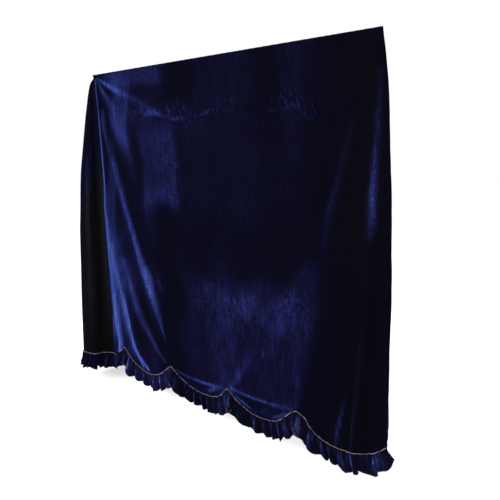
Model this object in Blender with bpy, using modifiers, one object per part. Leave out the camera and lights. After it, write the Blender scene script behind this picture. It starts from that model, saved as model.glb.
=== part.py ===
"""Fitted velvet cover for an upright piano, hanging from its flat top as if the piano stood inside it.

The front is one broad panel with a scalloped hem, the two side panels are cut wider at the foot and
stand out in flutes at the front corners, and a gathered ruffle hangs below a thin corded seam.
Metres, +Z up, the front faces -Y. The origin is the middle of the top's underside, where it rests.
"""

import math
from collections import namedtuple

import bmesh
import bpy
from mathutils import Vector

# Driving sizes
TOP_WIDTH = 1.44
TOP_DEPTH = 0.28
TOP_TAPER = 0.10
BACK_DROP = 0.14
CLOTH = 0.002
GAP = 0.0003
CORD_RADIUS = 0.002
RUFFLE_WIDTH = 0.084
SIDE_HEM = -1.484
TOP_RUCK = 0.003
TOP_RUCKS = 3

# Places that follow from them
HALF_WIDTH = TOP_WIDTH / 2
FRONT_Y = -TOP_DEPTH / 2
BACK_Y = TOP_DEPTH / 2
TOP_EDGE = -GAP
SIDE_TOP_EDGE = -3 * GAP
SEAM = CLOTH + 3 * GAP
TOP_HALF = HALF_WIDTH + SEAM + CLOTH / 2

# Grid counts: columns across a piece, rows down it. Panels that share a seam share their rows, which
# lie closer together near the top, where the flutes open.
FRONT_COLUMNS = 40
PANEL_ROWS = 22
LEFT_COLUMNS = 22
RIGHT_COLUMNS = 10
TOP_COLUMNS = 12
TOP_ROWS = 7
COLUMNS_A_WAVE = 6
RUFFLE_ROWS = 2
ROW_CROWDING = 1.15

# The hem of the front: a row for each peak, with the share of the panel's columns that lie left of it,
# and the depth of the swag that follows it. The first peak lies past the left seam.
Peak = namedtuple("Peak", "x z share sag")
PEAKS = (
    Peak(-0.973, -1.413, -0.225, 0.100),
    Peak(-0.615, -1.413, 0.100, 0.100),
    Peak(-0.264, -1.425, 0.350, 0.090),
    Peak(0.098, -1.429, 0.550, 0.084),
    Peak(0.452, -1.413, 0.750, 0.095),
    Peak(0.830, -1.413, 1.000, 0.0),
)
LEFT_HEM_X = -0.697
SWAG_ROUNDNESS = 0.9

# How far each swag leans back below the line from peak to peak, as metres back for each metre down
SWAG_LEAN = (0.05, 0.12, 0.34, 0.30, 0.10)

# The front's two upright edges: x at a share of the way down
Edge = namedtuple("Edge", "down x")
LEFT_EDGE = (
    Edge(0.0, -0.720),
    Edge(0.05, -0.703),
    Edge(0.14, -0.697),
    Edge(0.45, -0.692),
    Edge(0.62, -0.700),
    Edge(1.0, LEFT_HEM_X),
)
RIGHT_EDGE = (
    Edge(0.0, 0.720),
    Edge(0.05, 0.735),
    Edge(0.15, 0.753),
    Edge(0.28, 0.772),
    Edge(0.46, 0.794),
    Edge(0.68, 0.810),
    Edge(0.89, 0.822),
    Edge(1.0, 0.830),
)

# The crease that falls from the right corner, with the dip of the flute beside it
Crease = namedtuple("Crease", "down x dip")
RIGHT_CREASE = (
    Crease(0.0, 0.712, 0.0),
    Crease(0.12, 0.728, 0.006),
    Crease(0.45, 0.724, 0.014),
    Crease(0.70, 0.714, 0.020),
    Crease(1.0, 0.692, 0.026),
)
CREASE_RISE = 0.006
CREASE_SPREAD = 0.022
CREASE_SWELLS = 0.2
CORNER_ROLL = 0.012
ROLL_SWELLS = 0.1
ROLL_TIGHTNESS = 6

# The front's folds: each runs from (x0, z0) to (x1, z1), bowed sideways by bow at its middle, stands
# rise proud of the panel at its highest and has flanks that spread narrow at its start, wide at its end
Fold = namedtuple("Fold", "x0 z0 x1 z1 bow rise narrow wide")
FOLDS = (
    Fold(-0.714, -0.010, -0.270, -1.330, -0.030, 0.020, 0.012, 0.045),
    Fold(-0.700, -0.020, -0.380, -0.178, 0.004, 0.006, 0.012, 0.022),
    Fold(-0.706, -0.030, -0.480, -0.800, -0.014, -0.010, 0.012, 0.040),
    Fold(-0.665, -0.800, -0.436, -1.506, -0.012, 0.016, 0.018, 0.032),
    Fold(-0.610, -0.860, -0.560, -1.440, 0.010, -0.012, 0.016, 0.028),
    Fold(-0.555, -0.930, -0.278, -1.412, -0.010, 0.008, 0.014, 0.022),
    Fold(-0.690, -0.500, -0.655, -1.440, 0.000, 0.010, 0.016, 0.030),
    Fold(0.650, -0.220, 0.545, -0.760, 0.006, 0.006, 0.020, 0.034),
    Fold(0.600, -0.120, 0.380, -0.620, 0.000, -0.005, 0.030, 0.060),
    Fold(0.655, -1.180, 0.622, -1.480, 0.000, 0.009, 0.014, 0.026),
    Fold(0.560, -0.900, 0.452, -1.415, 0.000, 0.008, 0.030, 0.040),
    Fold(-0.060, -0.350, -0.120, -1.380, 0.010, 0.006, 0.060, 0.090),
    Fold(0.250, -0.300, 0.300, -1.380, -0.010, -0.006, 0.060, 0.090),
    Fold(-0.330, -0.420, -0.200, -1.100, 0.000, -0.006, 0.050, 0.070),
)

FOLD_SWELLS = 0.18
FOLD_FADES = 0.22
FLAT_BELOW_TOP = 0.05

# Plan of each side panel at its hem, with the share of the top's side that each column starts from.
# Back is measured from the front's plane, and a negative value stands forward of it.
Section = namedtuple("Section", "along top x back")
LEFT_SECTION = (
    Section(0.00, 0.000, -0.6995, 0.001),
    Section(0.08, 0.012, -0.736, 0.015),
    Section(0.17, 0.024, -0.779, -0.006),
    Section(0.28, 0.038, -0.815, -0.052),
    Section(0.40, 0.052, -0.876, -0.068),
    Section(0.50, 0.070, -0.920, -0.050),
    Section(0.60, 0.130, -0.926, 0.018),
    Section(0.74, 0.400, -0.880, 0.108),
    Section(0.87, 0.700, -0.830, 0.190),
    Section(1.00, 1.000, -0.768, 0.280),
)
RIGHT_SECTION = (
    Section(0.00, 0.000, 0.8329, 0.012),
    Section(0.20, 0.160, 0.812, 0.060),
    Section(0.45, 0.420, 0.782, 0.128),
    Section(0.70, 0.680, 0.772, 0.200),
    Section(1.00, 1.000, 0.744, 0.280),
)
RIGHT_HEM_RISE = 0.071
RIGHT_HEM_LEVEL_AT = 0.5
LEFT_SEAM_REACH = 0.2
RIGHT_SEAM_REACH = 0.3

# How the left flute opens on its way down: the share of its plan at the hem that it has reached,
# sideways and forward. Behind the flute the panel falls almost straight.
Opening = namedtuple("Opening", "down spread reach")
FLUTE_OPENING = (
    Opening(0.0, 0.0, 0.0),
    Opening(0.05, 0.21, 0.20),
    Opening(0.12, 0.43, 0.36),
    Opening(0.24, 0.61, 0.50),
    Opening(0.38, 0.73, 0.62),
    Opening(0.53, 0.82, 0.73),
    Opening(0.76, 0.91, 0.87),
    Opening(1.0, 1.0, 1.0),
)
FLUTE_ENDS_AT = 0.5

# Ruffle: its waves, and how it moves away from the seam on its way down
WAVE_TOP = 0.0022
WAVE_FOOT = 0.0125
FOOT_FLARE = 0.012
CURL_FORWARD = 0.022
TUCK_BACK = 0.010
CROSSING_REACH = 0.09
END_WAVE = 0.25
HANG_TO_NORMAL = 0.35
WAVE_PITCH = 0.050
PEAK_CLEARANCE = 0.004
WAVE_DRIFT = 0.25
WAVE_VARIATION = 0.30
WAVE_BEAT = 5.3
PIECE_SHIFT = 9.0

Finish = namedtuple("Finish", "name colour roughness")
VELVET = Finish("navy_velvet", (0.006, 0.008, 0.045), 0.85)
VELVET_RUFFLE = Finish("navy_velvet_ruffle", (0.010, 0.014, 0.070), 0.85)
CORD = Finish("copper_cord", (0.235, 0.130, 0.102), 0.60)

COLLECTION = "piano_cover"
FORWARD = Vector((0.0, -1.0, 0.0))
LEFTWARD = Vector((-1.0, 0.0, 0.0))
RIGHT_CORNER = Vector((0.7, -0.7, 0.0)).normalized()
LENGTH_STEPS = 24
TANGENT_STEPS = 40
HEM_SAMPLE = 0.004
FRONT_CORD_ENDS = (0.002, 0.998)
SIDE_ENDS = (0.012, 1.0)


def clear_scene():
    for item in list(bpy.data.objects):
        bpy.data.objects.remove(item, do_unlink=True)


def make_collection(name):
    collection = bpy.data.collections.new(name)
    bpy.context.scene.collection.children.link(collection)
    return collection


def make_material(finish):
    material = bpy.data.materials.new(finish.name)
    material.use_nodes = True
    shader = material.node_tree.nodes["Principled BSDF"]
    shader.inputs["Base Color"].default_value = (*finish.colour, 1.0)
    shader.inputs["Roughness"].default_value = finish.roughness
    shader.inputs["Metallic"].default_value = 0.0
    return material


def mix(a, b, share):
    return a + (b - a) * share


def ease(value):
    value = min(max(value, 0.0), 1.0)
    return value * value * (3 - 2 * value)


def slope_at(rows, index, field):
    before = rows[max(index - 1, 0)]
    after = rows[min(index + 1, len(rows) - 1)]
    return (getattr(after, field) - getattr(before, field)) / (after[0] - before[0])


def read_table(rows, key, field):
    """A table's column at a key between its rows, on a smooth curve through them."""
    key = min(max(key, rows[0][0]), rows[-1][0])
    index = 0
    while index < len(rows) - 2 and key > rows[index + 1][0]:
        index += 1
    low, high = rows[index], rows[index + 1]
    span = high[0] - low[0]
    t = (key - low[0]) / span
    start, end = getattr(low, field), getattr(high, field)
    start_slope = slope_at(rows, index, field) * span
    end_slope = slope_at(rows, index + 1, field) * span
    return (
        (2 * t**3 - 3 * t**2 + 1) * start
        + (t**3 - 2 * t**2 + t) * start_slope
        + (3 * t**2 - 2 * t**3) * end
        + (t**3 - t**2) * end_slope
    )


def swag_at(x):
    """The swag that hangs over x, and how far across it x lies."""
    index = 0
    while index < len(PEAKS) - 2 and x > PEAKS[index + 1].x:
        index += 1
    low, high = PEAKS[index], PEAKS[index + 1]
    return index, min(max((x - low.x) / (high.x - low.x), 0.0), 1.0)


def chord_height(x):
    index, across = swag_at(x)
    return mix(PEAKS[index].z, PEAKS[index + 1].z, across)


def hem_height(x):
    index, across = swag_at(x)
    return chord_height(x) - PEAKS[index].sag * math.sin(math.pi * across) ** SWAG_ROUNDNESS


def hem_x(share):
    """x of the front's hem at a share of its columns, so that a column falls on every peak."""
    if share <= PEAKS[1].share:
        return mix(LEFT_HEM_X, PEAKS[1].x, share / PEAKS[1].share)
    index = 1
    while index < len(PEAKS) - 2 and share > PEAKS[index + 1].share:
        index += 1
    low, high = PEAKS[index], PEAKS[index + 1]
    return mix(low.x, high.x, (share - low.share) / (high.share - low.share))


def fold_relief(fold, x, z):
    """How far a fold stands out of the front panel at a point of it."""
    run_x, run_z = fold.x1 - fold.x0, fold.z1 - fold.z0
    length = math.hypot(run_x, run_z)
    along = ((x - fold.x0) * run_x + (z - fold.z0) * run_z) / length**2
    if not 0.0 < along < 1.0:
        return 0.0
    aside = ((x - fold.x0) * run_z - (z - fold.z0) * run_x) / length
    aside += fold.bow * 4 * along * (1 - along)
    spread = mix(fold.narrow, fold.wide, along)
    strength = ease(along / FOLD_SWELLS) * ease((1 - along) / FOLD_FADES)
    return fold.rise * strength * math.exp(-((aside / spread) ** 2))


def flute_relief(x, down):
    """The right corner's crease, the dip beside it and the turn of the edge behind it."""
    crease = read_table(RIGHT_CREASE, down, "x")
    edge = read_table(RIGHT_EDGE, down, "x")
    relief = CREASE_RISE * ease(down / CREASE_SWELLS) * math.exp(-(((x - crease) / CREASE_SPREAD) ** 2))
    if x > crease:
        across = (x - crease) / (edge - crease)
        relief -= read_table(RIGHT_CREASE, down, "dip") * math.sin(math.pi * across) ** 2
        relief -= CORNER_ROLL * ease(down / ROLL_SWELLS) * across**ROLL_TIGHTNESS
    return relief


def lean_relief(x, z):
    """How far the cloth below the line from peak to peak leans back."""
    below = max(chord_height(x) - z, 0.0)
    index, across = swag_at(x)
    return -SWAG_LEAN[index] * below * math.sin(math.pi * across) ** 0.5


def front_forward(x, z, down):
    relief = sum(fold_relief(fold, x, z) for fold in FOLDS)
    relief += flute_relief(x, down) + lean_relief(x, z)
    return relief * ease(down / FLAT_BELOW_TOP)


def front_place(share, down, lift=0.0):
    """A point of the front panel, lifted off the hem line by lift at its foot."""
    hem = hem_x(share)
    across = (hem - LEFT_HEM_X) / (PEAKS[-1].x - LEFT_HEM_X)
    x = mix(read_table(LEFT_EDGE, down, "x"), read_table(RIGHT_EDGE, down, "x"), across)
    z = mix(TOP_EDGE, hem_height(hem) + lift, down)
    return Vector((x, FRONT_Y + CLOTH / 2 - front_forward(x, z, down), z))


def side_shape(rows, side, along, spread, reach):
    """Plan point of a side panel, spread and reach being how far it has gone from top to hem."""
    top = read_table(rows, along, "top")
    top_x = side * (HALF_WIDTH + SEAM - TOP_TAPER * top)
    top_y = mix(FRONT_Y + CLOTH / 2, BACK_Y, top)
    x = mix(top_x, read_table(rows, along, "x"), spread)
    y = mix(top_y, FRONT_Y + read_table(rows, along, "back"), reach)
    return x, y


def side_place(rows, side, hem, along, down, opening, seam_reach):
    """A point of a side panel, whose first column is drawn onto its seam with the front."""
    spread, reach = opening
    x, y = side_shape(rows, side, along, spread, reach)
    first_x, first_y = side_shape(rows, side, 0.0, spread, reach)
    seam = front_place(0.5 + side / 2, down)
    hold = ease(1 - along / seam_reach)
    x += (seam.x + side * SEAM - first_x) * hold
    y += (seam.y - first_y) * hold
    return Vector((x, y, mix(SIDE_TOP_EDGE, hem, down)))


def left_place(along, down, lift=0.0):
    flute = 1 - ease((along - FLUTE_ENDS_AT) / (1 - FLUTE_ENDS_AT))
    spread = mix(down, read_table(FLUTE_OPENING, down, "spread"), flute)
    reach = mix(down, read_table(FLUTE_OPENING, down, "reach"), flute)
    return side_place(LEFT_SECTION, -1, SIDE_HEM + lift, along, down, (spread, reach), LEFT_SEAM_REACH)


def right_place(along, down, lift=0.0):
    first, last = RIGHT_EDGE[0].x, RIGHT_EDGE[-1].x
    spread = (read_table(RIGHT_EDGE, down, "x") - first) / (last - first)
    rise = RIGHT_HEM_RISE * (1 - ease(along / RIGHT_HEM_LEVEL_AT))
    hem = SIDE_HEM + rise + lift
    return side_place(RIGHT_SECTION, 1, hem, along, down, (spread, down), RIGHT_SEAM_REACH)


def top_place(share, back):
    """A point of the top cloth, which runs back over the top and falls behind it."""
    length = TOP_DEPTH + GAP + CLOTH / 2
    bend = (TOP_ROWS - 2) / TOP_ROWS
    if back <= bend:
        run = back / bend
        half = mix(TOP_HALF, TOP_HALF - TOP_TAPER, run)
        ruck = TOP_RUCK * math.sin(math.pi * run) * math.sin(TOP_RUCKS * math.pi * share) ** 2
        return Vector((mix(-half, half, share), FRONT_Y + length * run, CLOTH / 2 + ruck))
    fall = (back - bend) / (1 - bend)
    half = TOP_HALF - TOP_TAPER
    return Vector((mix(-half, half, share), FRONT_Y + length, CLOTH / 2 - BACK_DROP * fall))


def make_object(name, mesh, material, collection):
    piece = bpy.data.objects.new(name, mesh)
    mesh.materials.append(material)
    collection.objects.link(piece)
    return piece


def cloth_sheet(name, columns, rows, place, material, collection, outward):
    """A grid set in the cloth's folds by place(across, down), then given its thickness."""
    mesh = bpy.data.meshes.new(name)
    grid = bmesh.new()
    bmesh.ops.create_grid(grid, x_segments=columns, y_segments=rows, size=0.5)
    for vertex in grid.verts:
        vertex.co = place(vertex.co.x + 0.5, 0.5 - vertex.co.y)
    grid.normal_update()
    total = sum((face.normal * face.calc_area() for face in grid.faces), Vector())
    if total.dot(outward) < 0:
        bmesh.ops.reverse_faces(grid, faces=grid.faces)
    grid.to_mesh(mesh)
    grid.free()
    mesh.shade_smooth()
    piece = make_object(name, mesh, material, collection)
    thickness = piece.modifiers.new("thickness", "SOLIDIFY")
    thickness.thickness = CLOTH
    thickness.offset = 0.0
    thickness.use_even_offset = True
    return piece


def clearance(path, share):
    """How far above or below the cord's middle a cloth edge stops, on a hem of this slope."""
    before, after = path(max(share - HEM_SAMPLE, 0.0)), path(min(share + HEM_SAMPLE, 1.0))
    run = math.hypot(after.x - before.x, after.y - before.y)
    steepness = abs(after.z - before.z) / run
    return (CORD_RADIUS + GAP) * math.hypot(1.0, steepness) + GAP


def hem_line(place, columns):
    """The hem as the straight runs between a sheet's lowest points, which cord and ruffle follow."""
    points = [place(index / columns, 1.0) for index in range(columns + 1)]

    def at(share):
        spot = min(max(share, 0.0), 1.0) * columns
        index = min(int(spot), columns - 1)
        return points[index].lerp(points[index + 1], spot - index)

    return at


def cord(name, path, columns, ends, material, collection):
    """The corded seam: a thin round tube along the hem from one share of it to another."""
    curve = bpy.data.curves.new(name, "CURVE")
    curve.dimensions = "3D"
    curve.bevel_depth = CORD_RADIUS
    curve.bevel_resolution = 2
    curve.use_fill_caps = True
    start, end = ends
    inner = [index / columns for index in range(columns + 1) if start < index / columns < end]
    shares = [start, *inner, end]
    line = curve.splines.new("POLY")
    line.points.add(len(shares) - 1)
    for point, share in zip(line.points, shares):
        point.co = (*path(share), 1.0)
    piece = bpy.data.objects.new(name, curve)
    curve.materials.append(material)
    collection.objects.link(piece)
    return piece


def ruffle(name, path, ends, crossing, turns, material, collection):
    """A gathered strip below the cord: small waves at its seam, deep ones at its foot.

    crossing says whether its start and its end pass the next strip below a peak, the end in front.
    turns gives the direction that its foot stands out to at its start and at its end.
    """
    start, end = ends
    shares = [mix(start, end, index / LENGTH_STEPS) for index in range(LENGTH_STEPS + 1)]
    points = [path(share) for share in shares]
    length = sum((b - a).length for a, b in zip(points, points[1:]))
    waves = max(round(length / WAVE_PITCH), 1)
    step = (end - start) / TANGENT_STEPS

    def place(across, down):
        share = mix(start, end, across)
        run = path(min(share + step, end)) - path(max(share - step, start))
        flat = Vector((run.x, run.y, 0.0)).normalized()
        outward = Vector((flat.y, -flat.x, 0.0))
        hint = turns[0].lerp(turns[1], across)
        if outward.dot(hint) < 0:
            outward.negate()
        near_start = 1 - ease(across * length / CROSSING_REACH)
        near_end = 1 - ease((1 - across) * length / CROSSING_REACH)
        outward = outward.lerp(turns[0], near_start * down * (not crossing[0]))
        outward = outward.lerp(turns[1], near_end * down * (not crossing[1])).normalized()
        steep = run.z / math.hypot(run.x, run.y)
        normal = (flat * steep - Vector((0.0, 0.0, 1.0))).normalized()
        lean = HANG_TO_NORMAL * (1 - near_start * (not crossing[0]))
        lean *= 1 - near_end * (not crossing[1])
        hang = (normal * lean - Vector((0.0, 0.0, 1 - lean))).normalized()
        near_start *= crossing[0]
        near_end *= crossing[1]
        uneven = math.sin(math.pi * across) * math.sin(WAVE_BEAT * across + waves + PIECE_SHIFT * start)
        foot_wave = WAVE_FOOT * (1 + WAVE_VARIATION * uneven)
        foot_wave *= 1 - (1 - END_WAVE) * max(near_start, near_end)
        turn = math.tau * (waves * across + WAVE_DRIFT * uneven)
        stand = mix(WAVE_TOP, foot_wave, down) * math.sin(turn)
        stand += FOOT_FLARE * down**2
        stand += (CURL_FORWARD * near_end - TUCK_BACK * near_start) * down
        edge = Vector((0.0, 0.0, -clearance(path, share)))
        return path(share) + edge + hang * (RUFFLE_WIDTH * down) + outward * stand

    columns = waves * COLUMNS_A_WAVE
    return cloth_sheet(name, columns, RUFFLE_ROWS, place, material, collection, turns[0])


def lifted(place, line):
    """A sheet's place() whose foot stops just above the cord on the same hem."""

    def at(share, rows_down):
        return place(share, rows_down**ROW_CROWDING, clearance(line, share))

    return at


def front(velvet, ruffle_cloth, copper, collection):
    line = hem_line(front_place, FRONT_COLUMNS)
    place = lifted(front_place, line)
    cloth_sheet("front_panel", FRONT_COLUMNS, PANEL_ROWS, place, velvet, collection, FORWARD)
    cord("piping_front", line, FRONT_COLUMNS, FRONT_CORD_ENDS, copper, collection)
    shares = [0.0, *[peak.share for peak in PEAKS[1:]]]
    last = len(shares) - 2
    for index, (start, end) in enumerate(zip(shares, shares[1:])):
        inset = PEAK_CLEARANCE / (PEAKS[-1].x - LEFT_HEM_X)
        crossing = (index > 0, index < last)
        turns = (FORWARD, FORWARD if index < last else RIGHT_CORNER)
        name = f"ruffle_front_{index + 1}"
        ruffle(name, line, (start + inset, end - inset), crossing, turns, ruffle_cloth, collection)


def side(name, place, columns, turns, velvet, ruffle_cloth, copper, collection):
    line = hem_line(place, columns)
    shaped = lifted(place, line)
    cloth_sheet(f"side_panel_{name}", columns, PANEL_ROWS, shaped, velvet, collection, turns[1])
    cord(f"piping_{name}", line, columns, SIDE_ENDS, copper, collection)
    both = (False, False)
    ruffle(f"ruffle_{name}", line, SIDE_ENDS, both, turns, ruffle_cloth, collection)


def main():
    clear_scene()
    collection = make_collection(COLLECTION)
    velvet = make_material(VELVET)
    ruffle_cloth = make_material(VELVET_RUFFLE)
    copper = make_material(CORD)
    upward = Vector((0.0, 0.0, 1.0))
    cloth_sheet("top_panel", TOP_COLUMNS, TOP_ROWS, top_place, velvet, collection, upward)
    front(velvet, ruffle_cloth, copper, collection)
    left_turns = (FORWARD, LEFTWARD)
    side("left", left_place, LEFT_COLUMNS, left_turns, velvet, ruffle_cloth, copper, collection)
    right_turns = (RIGHT_CORNER, -LEFTWARD)
    side("right", right_place, RIGHT_COLUMNS, right_turns, velvet, ruffle_cloth, copper, collection)


main()
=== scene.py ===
"""Looks of a fitted velvet cover for an upright piano.

Every cloth is a thin sheet on the folds that its solid has, at a finer grain: the fan of creases from the
left corner, the flutes at both front corners, the leaning swags, and a gathered ruffle whose folds
turn over at the scallops' peaks. Metres, +Z up, the front faces -Y.
"""

import logging
import math
from dataclasses import dataclass, field
from enum import Enum
from typing import Any, Callable

import bpy
import numpy as np
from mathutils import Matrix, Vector

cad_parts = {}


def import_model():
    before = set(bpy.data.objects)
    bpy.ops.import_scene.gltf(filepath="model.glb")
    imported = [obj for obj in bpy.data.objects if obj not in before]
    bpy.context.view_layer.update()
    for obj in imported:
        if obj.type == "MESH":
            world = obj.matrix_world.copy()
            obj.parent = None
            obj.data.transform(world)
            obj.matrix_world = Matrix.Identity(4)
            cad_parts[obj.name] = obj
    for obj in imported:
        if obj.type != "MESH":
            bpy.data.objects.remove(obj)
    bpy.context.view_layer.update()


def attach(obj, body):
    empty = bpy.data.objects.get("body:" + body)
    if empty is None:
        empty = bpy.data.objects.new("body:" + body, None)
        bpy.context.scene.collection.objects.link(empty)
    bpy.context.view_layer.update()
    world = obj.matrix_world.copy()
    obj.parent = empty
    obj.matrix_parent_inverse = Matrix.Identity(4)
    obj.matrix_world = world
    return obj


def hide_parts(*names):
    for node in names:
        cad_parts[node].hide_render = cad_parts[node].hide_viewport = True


LOG = logging.getLogger("piano_cover")
BODY = "root"
Array = np.ndarray
Material, Node, Piece, Socket = bpy.types.Material, bpy.types.Node, bpy.types.Object, bpy.types.NodeSocket
Rows = tuple[tuple[float, ...], ...]

# Sizes of the cover
TOP_WIDTH = 1.44
TOP_DEPTH = 0.28
TOP_TAPER = 0.10
BACK_DROP = 0.14
CLOTH = 0.002
RUFFLE_CLOTH = 0.0014
GAP = 0.0003
RUFFLE_WIDTH = 0.084
SIDE_HEM = -1.484
RIGHT_HEM_RISE = 0.061
HALF_WIDTH = TOP_WIDTH / 2
FRONT_Y = -TOP_DEPTH / 2
BACK_Y = TOP_DEPTH / 2
SEAM = -0.0005
TOP_HALF = HALF_WIDTH + SEAM + CLOTH / 2
FORWARD = np.array((0.0, -1.0, 0.0))
LEFTWARD = np.array((-1.0, 0.0, 0.0))
RIGHTWARD = np.array((1.0, 0.0, 0.0))
UPWARD = np.array((0.0, 0.0, 1.0))
RIGHT_CORNER = np.array((0.7, -0.7, 0.0)) / math.hypot(0.7, 0.7)
LIT_FROM = np.array((-0.62, -0.52, 0.59))

# Peaks of the scalloped hem: x, z, the share of the panel's columns left of it, depth of the next swag,
# and how far that swag leans back
PEAKS: Rows = (
    (-0.973, -1.413, -0.225, 0.1, 0.05), (-0.615, -1.413, 0.1, 0.1, 0.12),
    (-0.264, -1.425, 0.35, 0.09, 0.34), (0.098, -1.429, 0.55, 0.084, 0.3),
    (0.452, -1.413, 0.75, 0.095, 0.1), (0.83, -1.413, 1.0, 0.0, 0.0),
)
LEFT_HEM_X = -0.697
SWAG_ROUNDNESS = 0.9
PEAK_ROUNDNESS = 0.10

# How far the hem lies off its even swags: x, rise
HEM_TRIM: Rows = (
    (-0.615, 0.0), (-0.57, -0.008), (-0.54, -0.006), (-0.5, -0.002), (-0.3, 0.0), (-0.264, 0.003),
    (-0.235, 0.008), (-0.2, 0.0), (-0.18, -0.004), (-0.1, -0.008), (-0.05, -0.01), (0.0, -0.016),
    (0.04, -0.018), (0.07, -0.01), (0.098, 0.003), (0.12, 0.001), (0.15, -0.007), (0.18, -0.014),
    (0.21, -0.021), (0.25, -0.022), (0.33, -0.024), (0.36, -0.021), (0.38, -0.016), (0.4, -0.009),
    (0.42, -0.002), (0.452, 0.005), (0.48, 0.02), (0.5, 0.024), (0.52, 0.009), (0.54, 0.002),
    (0.66, 0.002), (0.7, 0.0), (0.72, -0.011), (0.74, -0.021), (0.76, -0.029), (0.78, -0.029),
    (0.8, -0.024), (0.83, -0.011),
)
# The front's upright edges: share of the way down, x
LEFT_EDGE: Rows = (
    (0, -0.718), (0.05, -0.705), (0.14, -0.698), (0.45, -0.692), (0.62, -0.7), (1, -0.697),
)
RIGHT_EDGE: Rows = (
    (0.0, 0.72), (0.05, 0.732), (0.15, 0.749), (0.28, 0.767), (0.46, 0.788), (0.68, 0.804), (0.89, 0.816),
    (1.0, 0.825),
)
# The right corner's crease: share of the way down, x, dip of the flute beside it
RIGHT_CREASE: Rows = (
    (0.0, 0.712, 0.0), (0.12, 0.728, 0.006), (0.45, 0.724, 0.014), (0.7, 0.714, 0.02), (1.0, 0.692, 0.026),
)
# Folds of the front: x0, z0, x1, z1, sideways bow, height, spread at the start, spread at the end
FOLDS: Rows = (
    (-0.714, -0.01, -0.27, -1.33, -0.03, 0.02, 0.012, 0.045),
    (-0.7, -0.02, -0.38, -0.178, 0.004, 0.006, 0.012, 0.022),
    (-0.706, -0.03, -0.48, -0.8, -0.014, -0.01, 0.012, 0.04),
    (-0.665, -0.8, -0.436, -1.506, -0.012, 0.016, 0.018, 0.032),
    (-0.61, -0.86, -0.56, -1.44, 0.01, -0.012, 0.016, 0.028),
    (-0.555, -0.93, -0.278, -1.412, -0.01, 0.008, 0.014, 0.022),
    (-0.69, -0.5, -0.655, -1.44, 0.0, 0.01, 0.016, 0.03),
    (0.65, -0.22, 0.545, -0.76, 0.006, 0.006, 0.02, 0.034),
    (0.6, -0.12, 0.38, -0.62, 0.0, -0.005, 0.03, 0.06),
    (0.655, -1.18, 0.622, -1.48, 0.0, 0.009, 0.014, 0.026),
    (0.56, -0.9, 0.452, -1.415, 0.0, 0.008, 0.03, 0.04),
    (-0.06, -0.35, -0.12, -1.38, 0.01, 0.006, 0.06, 0.09),
    (0.25, -0.3, 0.3, -1.38, -0.01, -0.006, 0.06, 0.09),
    (-0.33, -0.42, -0.2, -1.1, 0.0, -0.006, 0.05, 0.07),
)
# Finer creases between them, in the same columns
CREASES: Rows = (
    (-0.695, -0.02, -0.5, -0.42, 0.006, 0.004, 0.005, 0.014),
    (-0.69, -0.02, -0.56, -0.11, 0.0, -0.003, 0.005, 0.01),
    (-0.7, -0.06, -0.56, -0.52, 0.004, -0.003, 0.006, 0.014),
    (-0.64, -0.018, -0.24, -0.05, 0.002, 0.0022, 0.006, 0.016),
    (-0.655, -1.0, -0.618, -1.405, 0.0, 0.004, 0.006, 0.01),
    (-0.69, -1.15, -0.664, -1.46, 0.0, -0.003, 0.004, 0.007),
    (-0.56, -1.25, -0.44, -1.5, 0.008, 0.004, 0.007, 0.01),
    (-0.52, -1.0, -0.4, -1.34, -0.006, -0.0035, 0.012, 0.018),
    (-0.42, -0.14, -0.27, -0.19, 0.0, 0.002, 0.008, 0.01),
    (0.24, -1.18, 0.105, -1.425, -0.006, 0.0035, 0.02, 0.008),
    (0.15, -1.12, 0.095, -1.43, 0.004, -0.0025, 0.016, 0.008),
    (0.48, -1.06, 0.455, -1.41, 0.0, 0.0035, 0.02, 0.008),
    (-0.2, -1.12, -0.258, -1.42, 0.0, -0.003, 0.02, 0.008),
    (-0.31, -1.18, -0.268, -1.42, 0.0, 0.0025, 0.018, 0.008),
    (0.296, -1.13, 0.284, -1.23, 0.0, 0.0012, 0.003, 0.003),
    (0.716, -0.96, 0.694, -1.49, -0.003, 0.0022, 0.003, 0.005),
    (0.69, -0.03, 0.44, -0.42, 0.004, 0.002, 0.008, 0.03),
    (0.6, -1.24, 0.56, -1.49, 0.0, -0.003, 0.012, 0.016),
)
# Plans of the side panels at the hem: share along, share of the top's side, x, distance back
LEFT_SECTION: Rows = (
    (0.0, 0.0, -0.6995, 0.001), (0.08, 0.012, -0.736, 0.015), (0.17, 0.024, -0.779, -0.006),
    (0.28, 0.038, -0.815, -0.052), (0.4, 0.052, -0.876, -0.068), (0.5, 0.07, -0.92, -0.05),
    (0.6, 0.13, -0.926, 0.018), (0.74, 0.4, -0.88, 0.108), (0.87, 0.7, -0.83, 0.19),
    (1.0, 1.0, -0.768, 0.28),
)
RIGHT_SECTION: Rows = (
    (0.0, 0.0, 0.8329, 0.012), (0.2, 0.16, 0.812, 0.06), (0.45, 0.42, 0.782, 0.128),
    (0.7, 0.68, 0.772, 0.2), (1.0, 1.0, 0.744, 0.28),
)
# How the left flute opens: share of the way down, share of its spread, share of its reach
FLUTE_OPENING: Rows = (
    (0.0, 0.0, 0.0), (0.02, 0.17, 0.14), (0.05, 0.25, 0.21), (0.09, 0.31, 0.28), (0.15, 0.41, 0.37),
    (0.24, 0.55, 0.47), (0.33, 0.67, 0.58), (0.47, 0.77, 0.69), (0.53, 0.82, 0.73), (0.76, 0.91, 0.87),
    (1.0, 1.0, 1.0),
)

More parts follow.
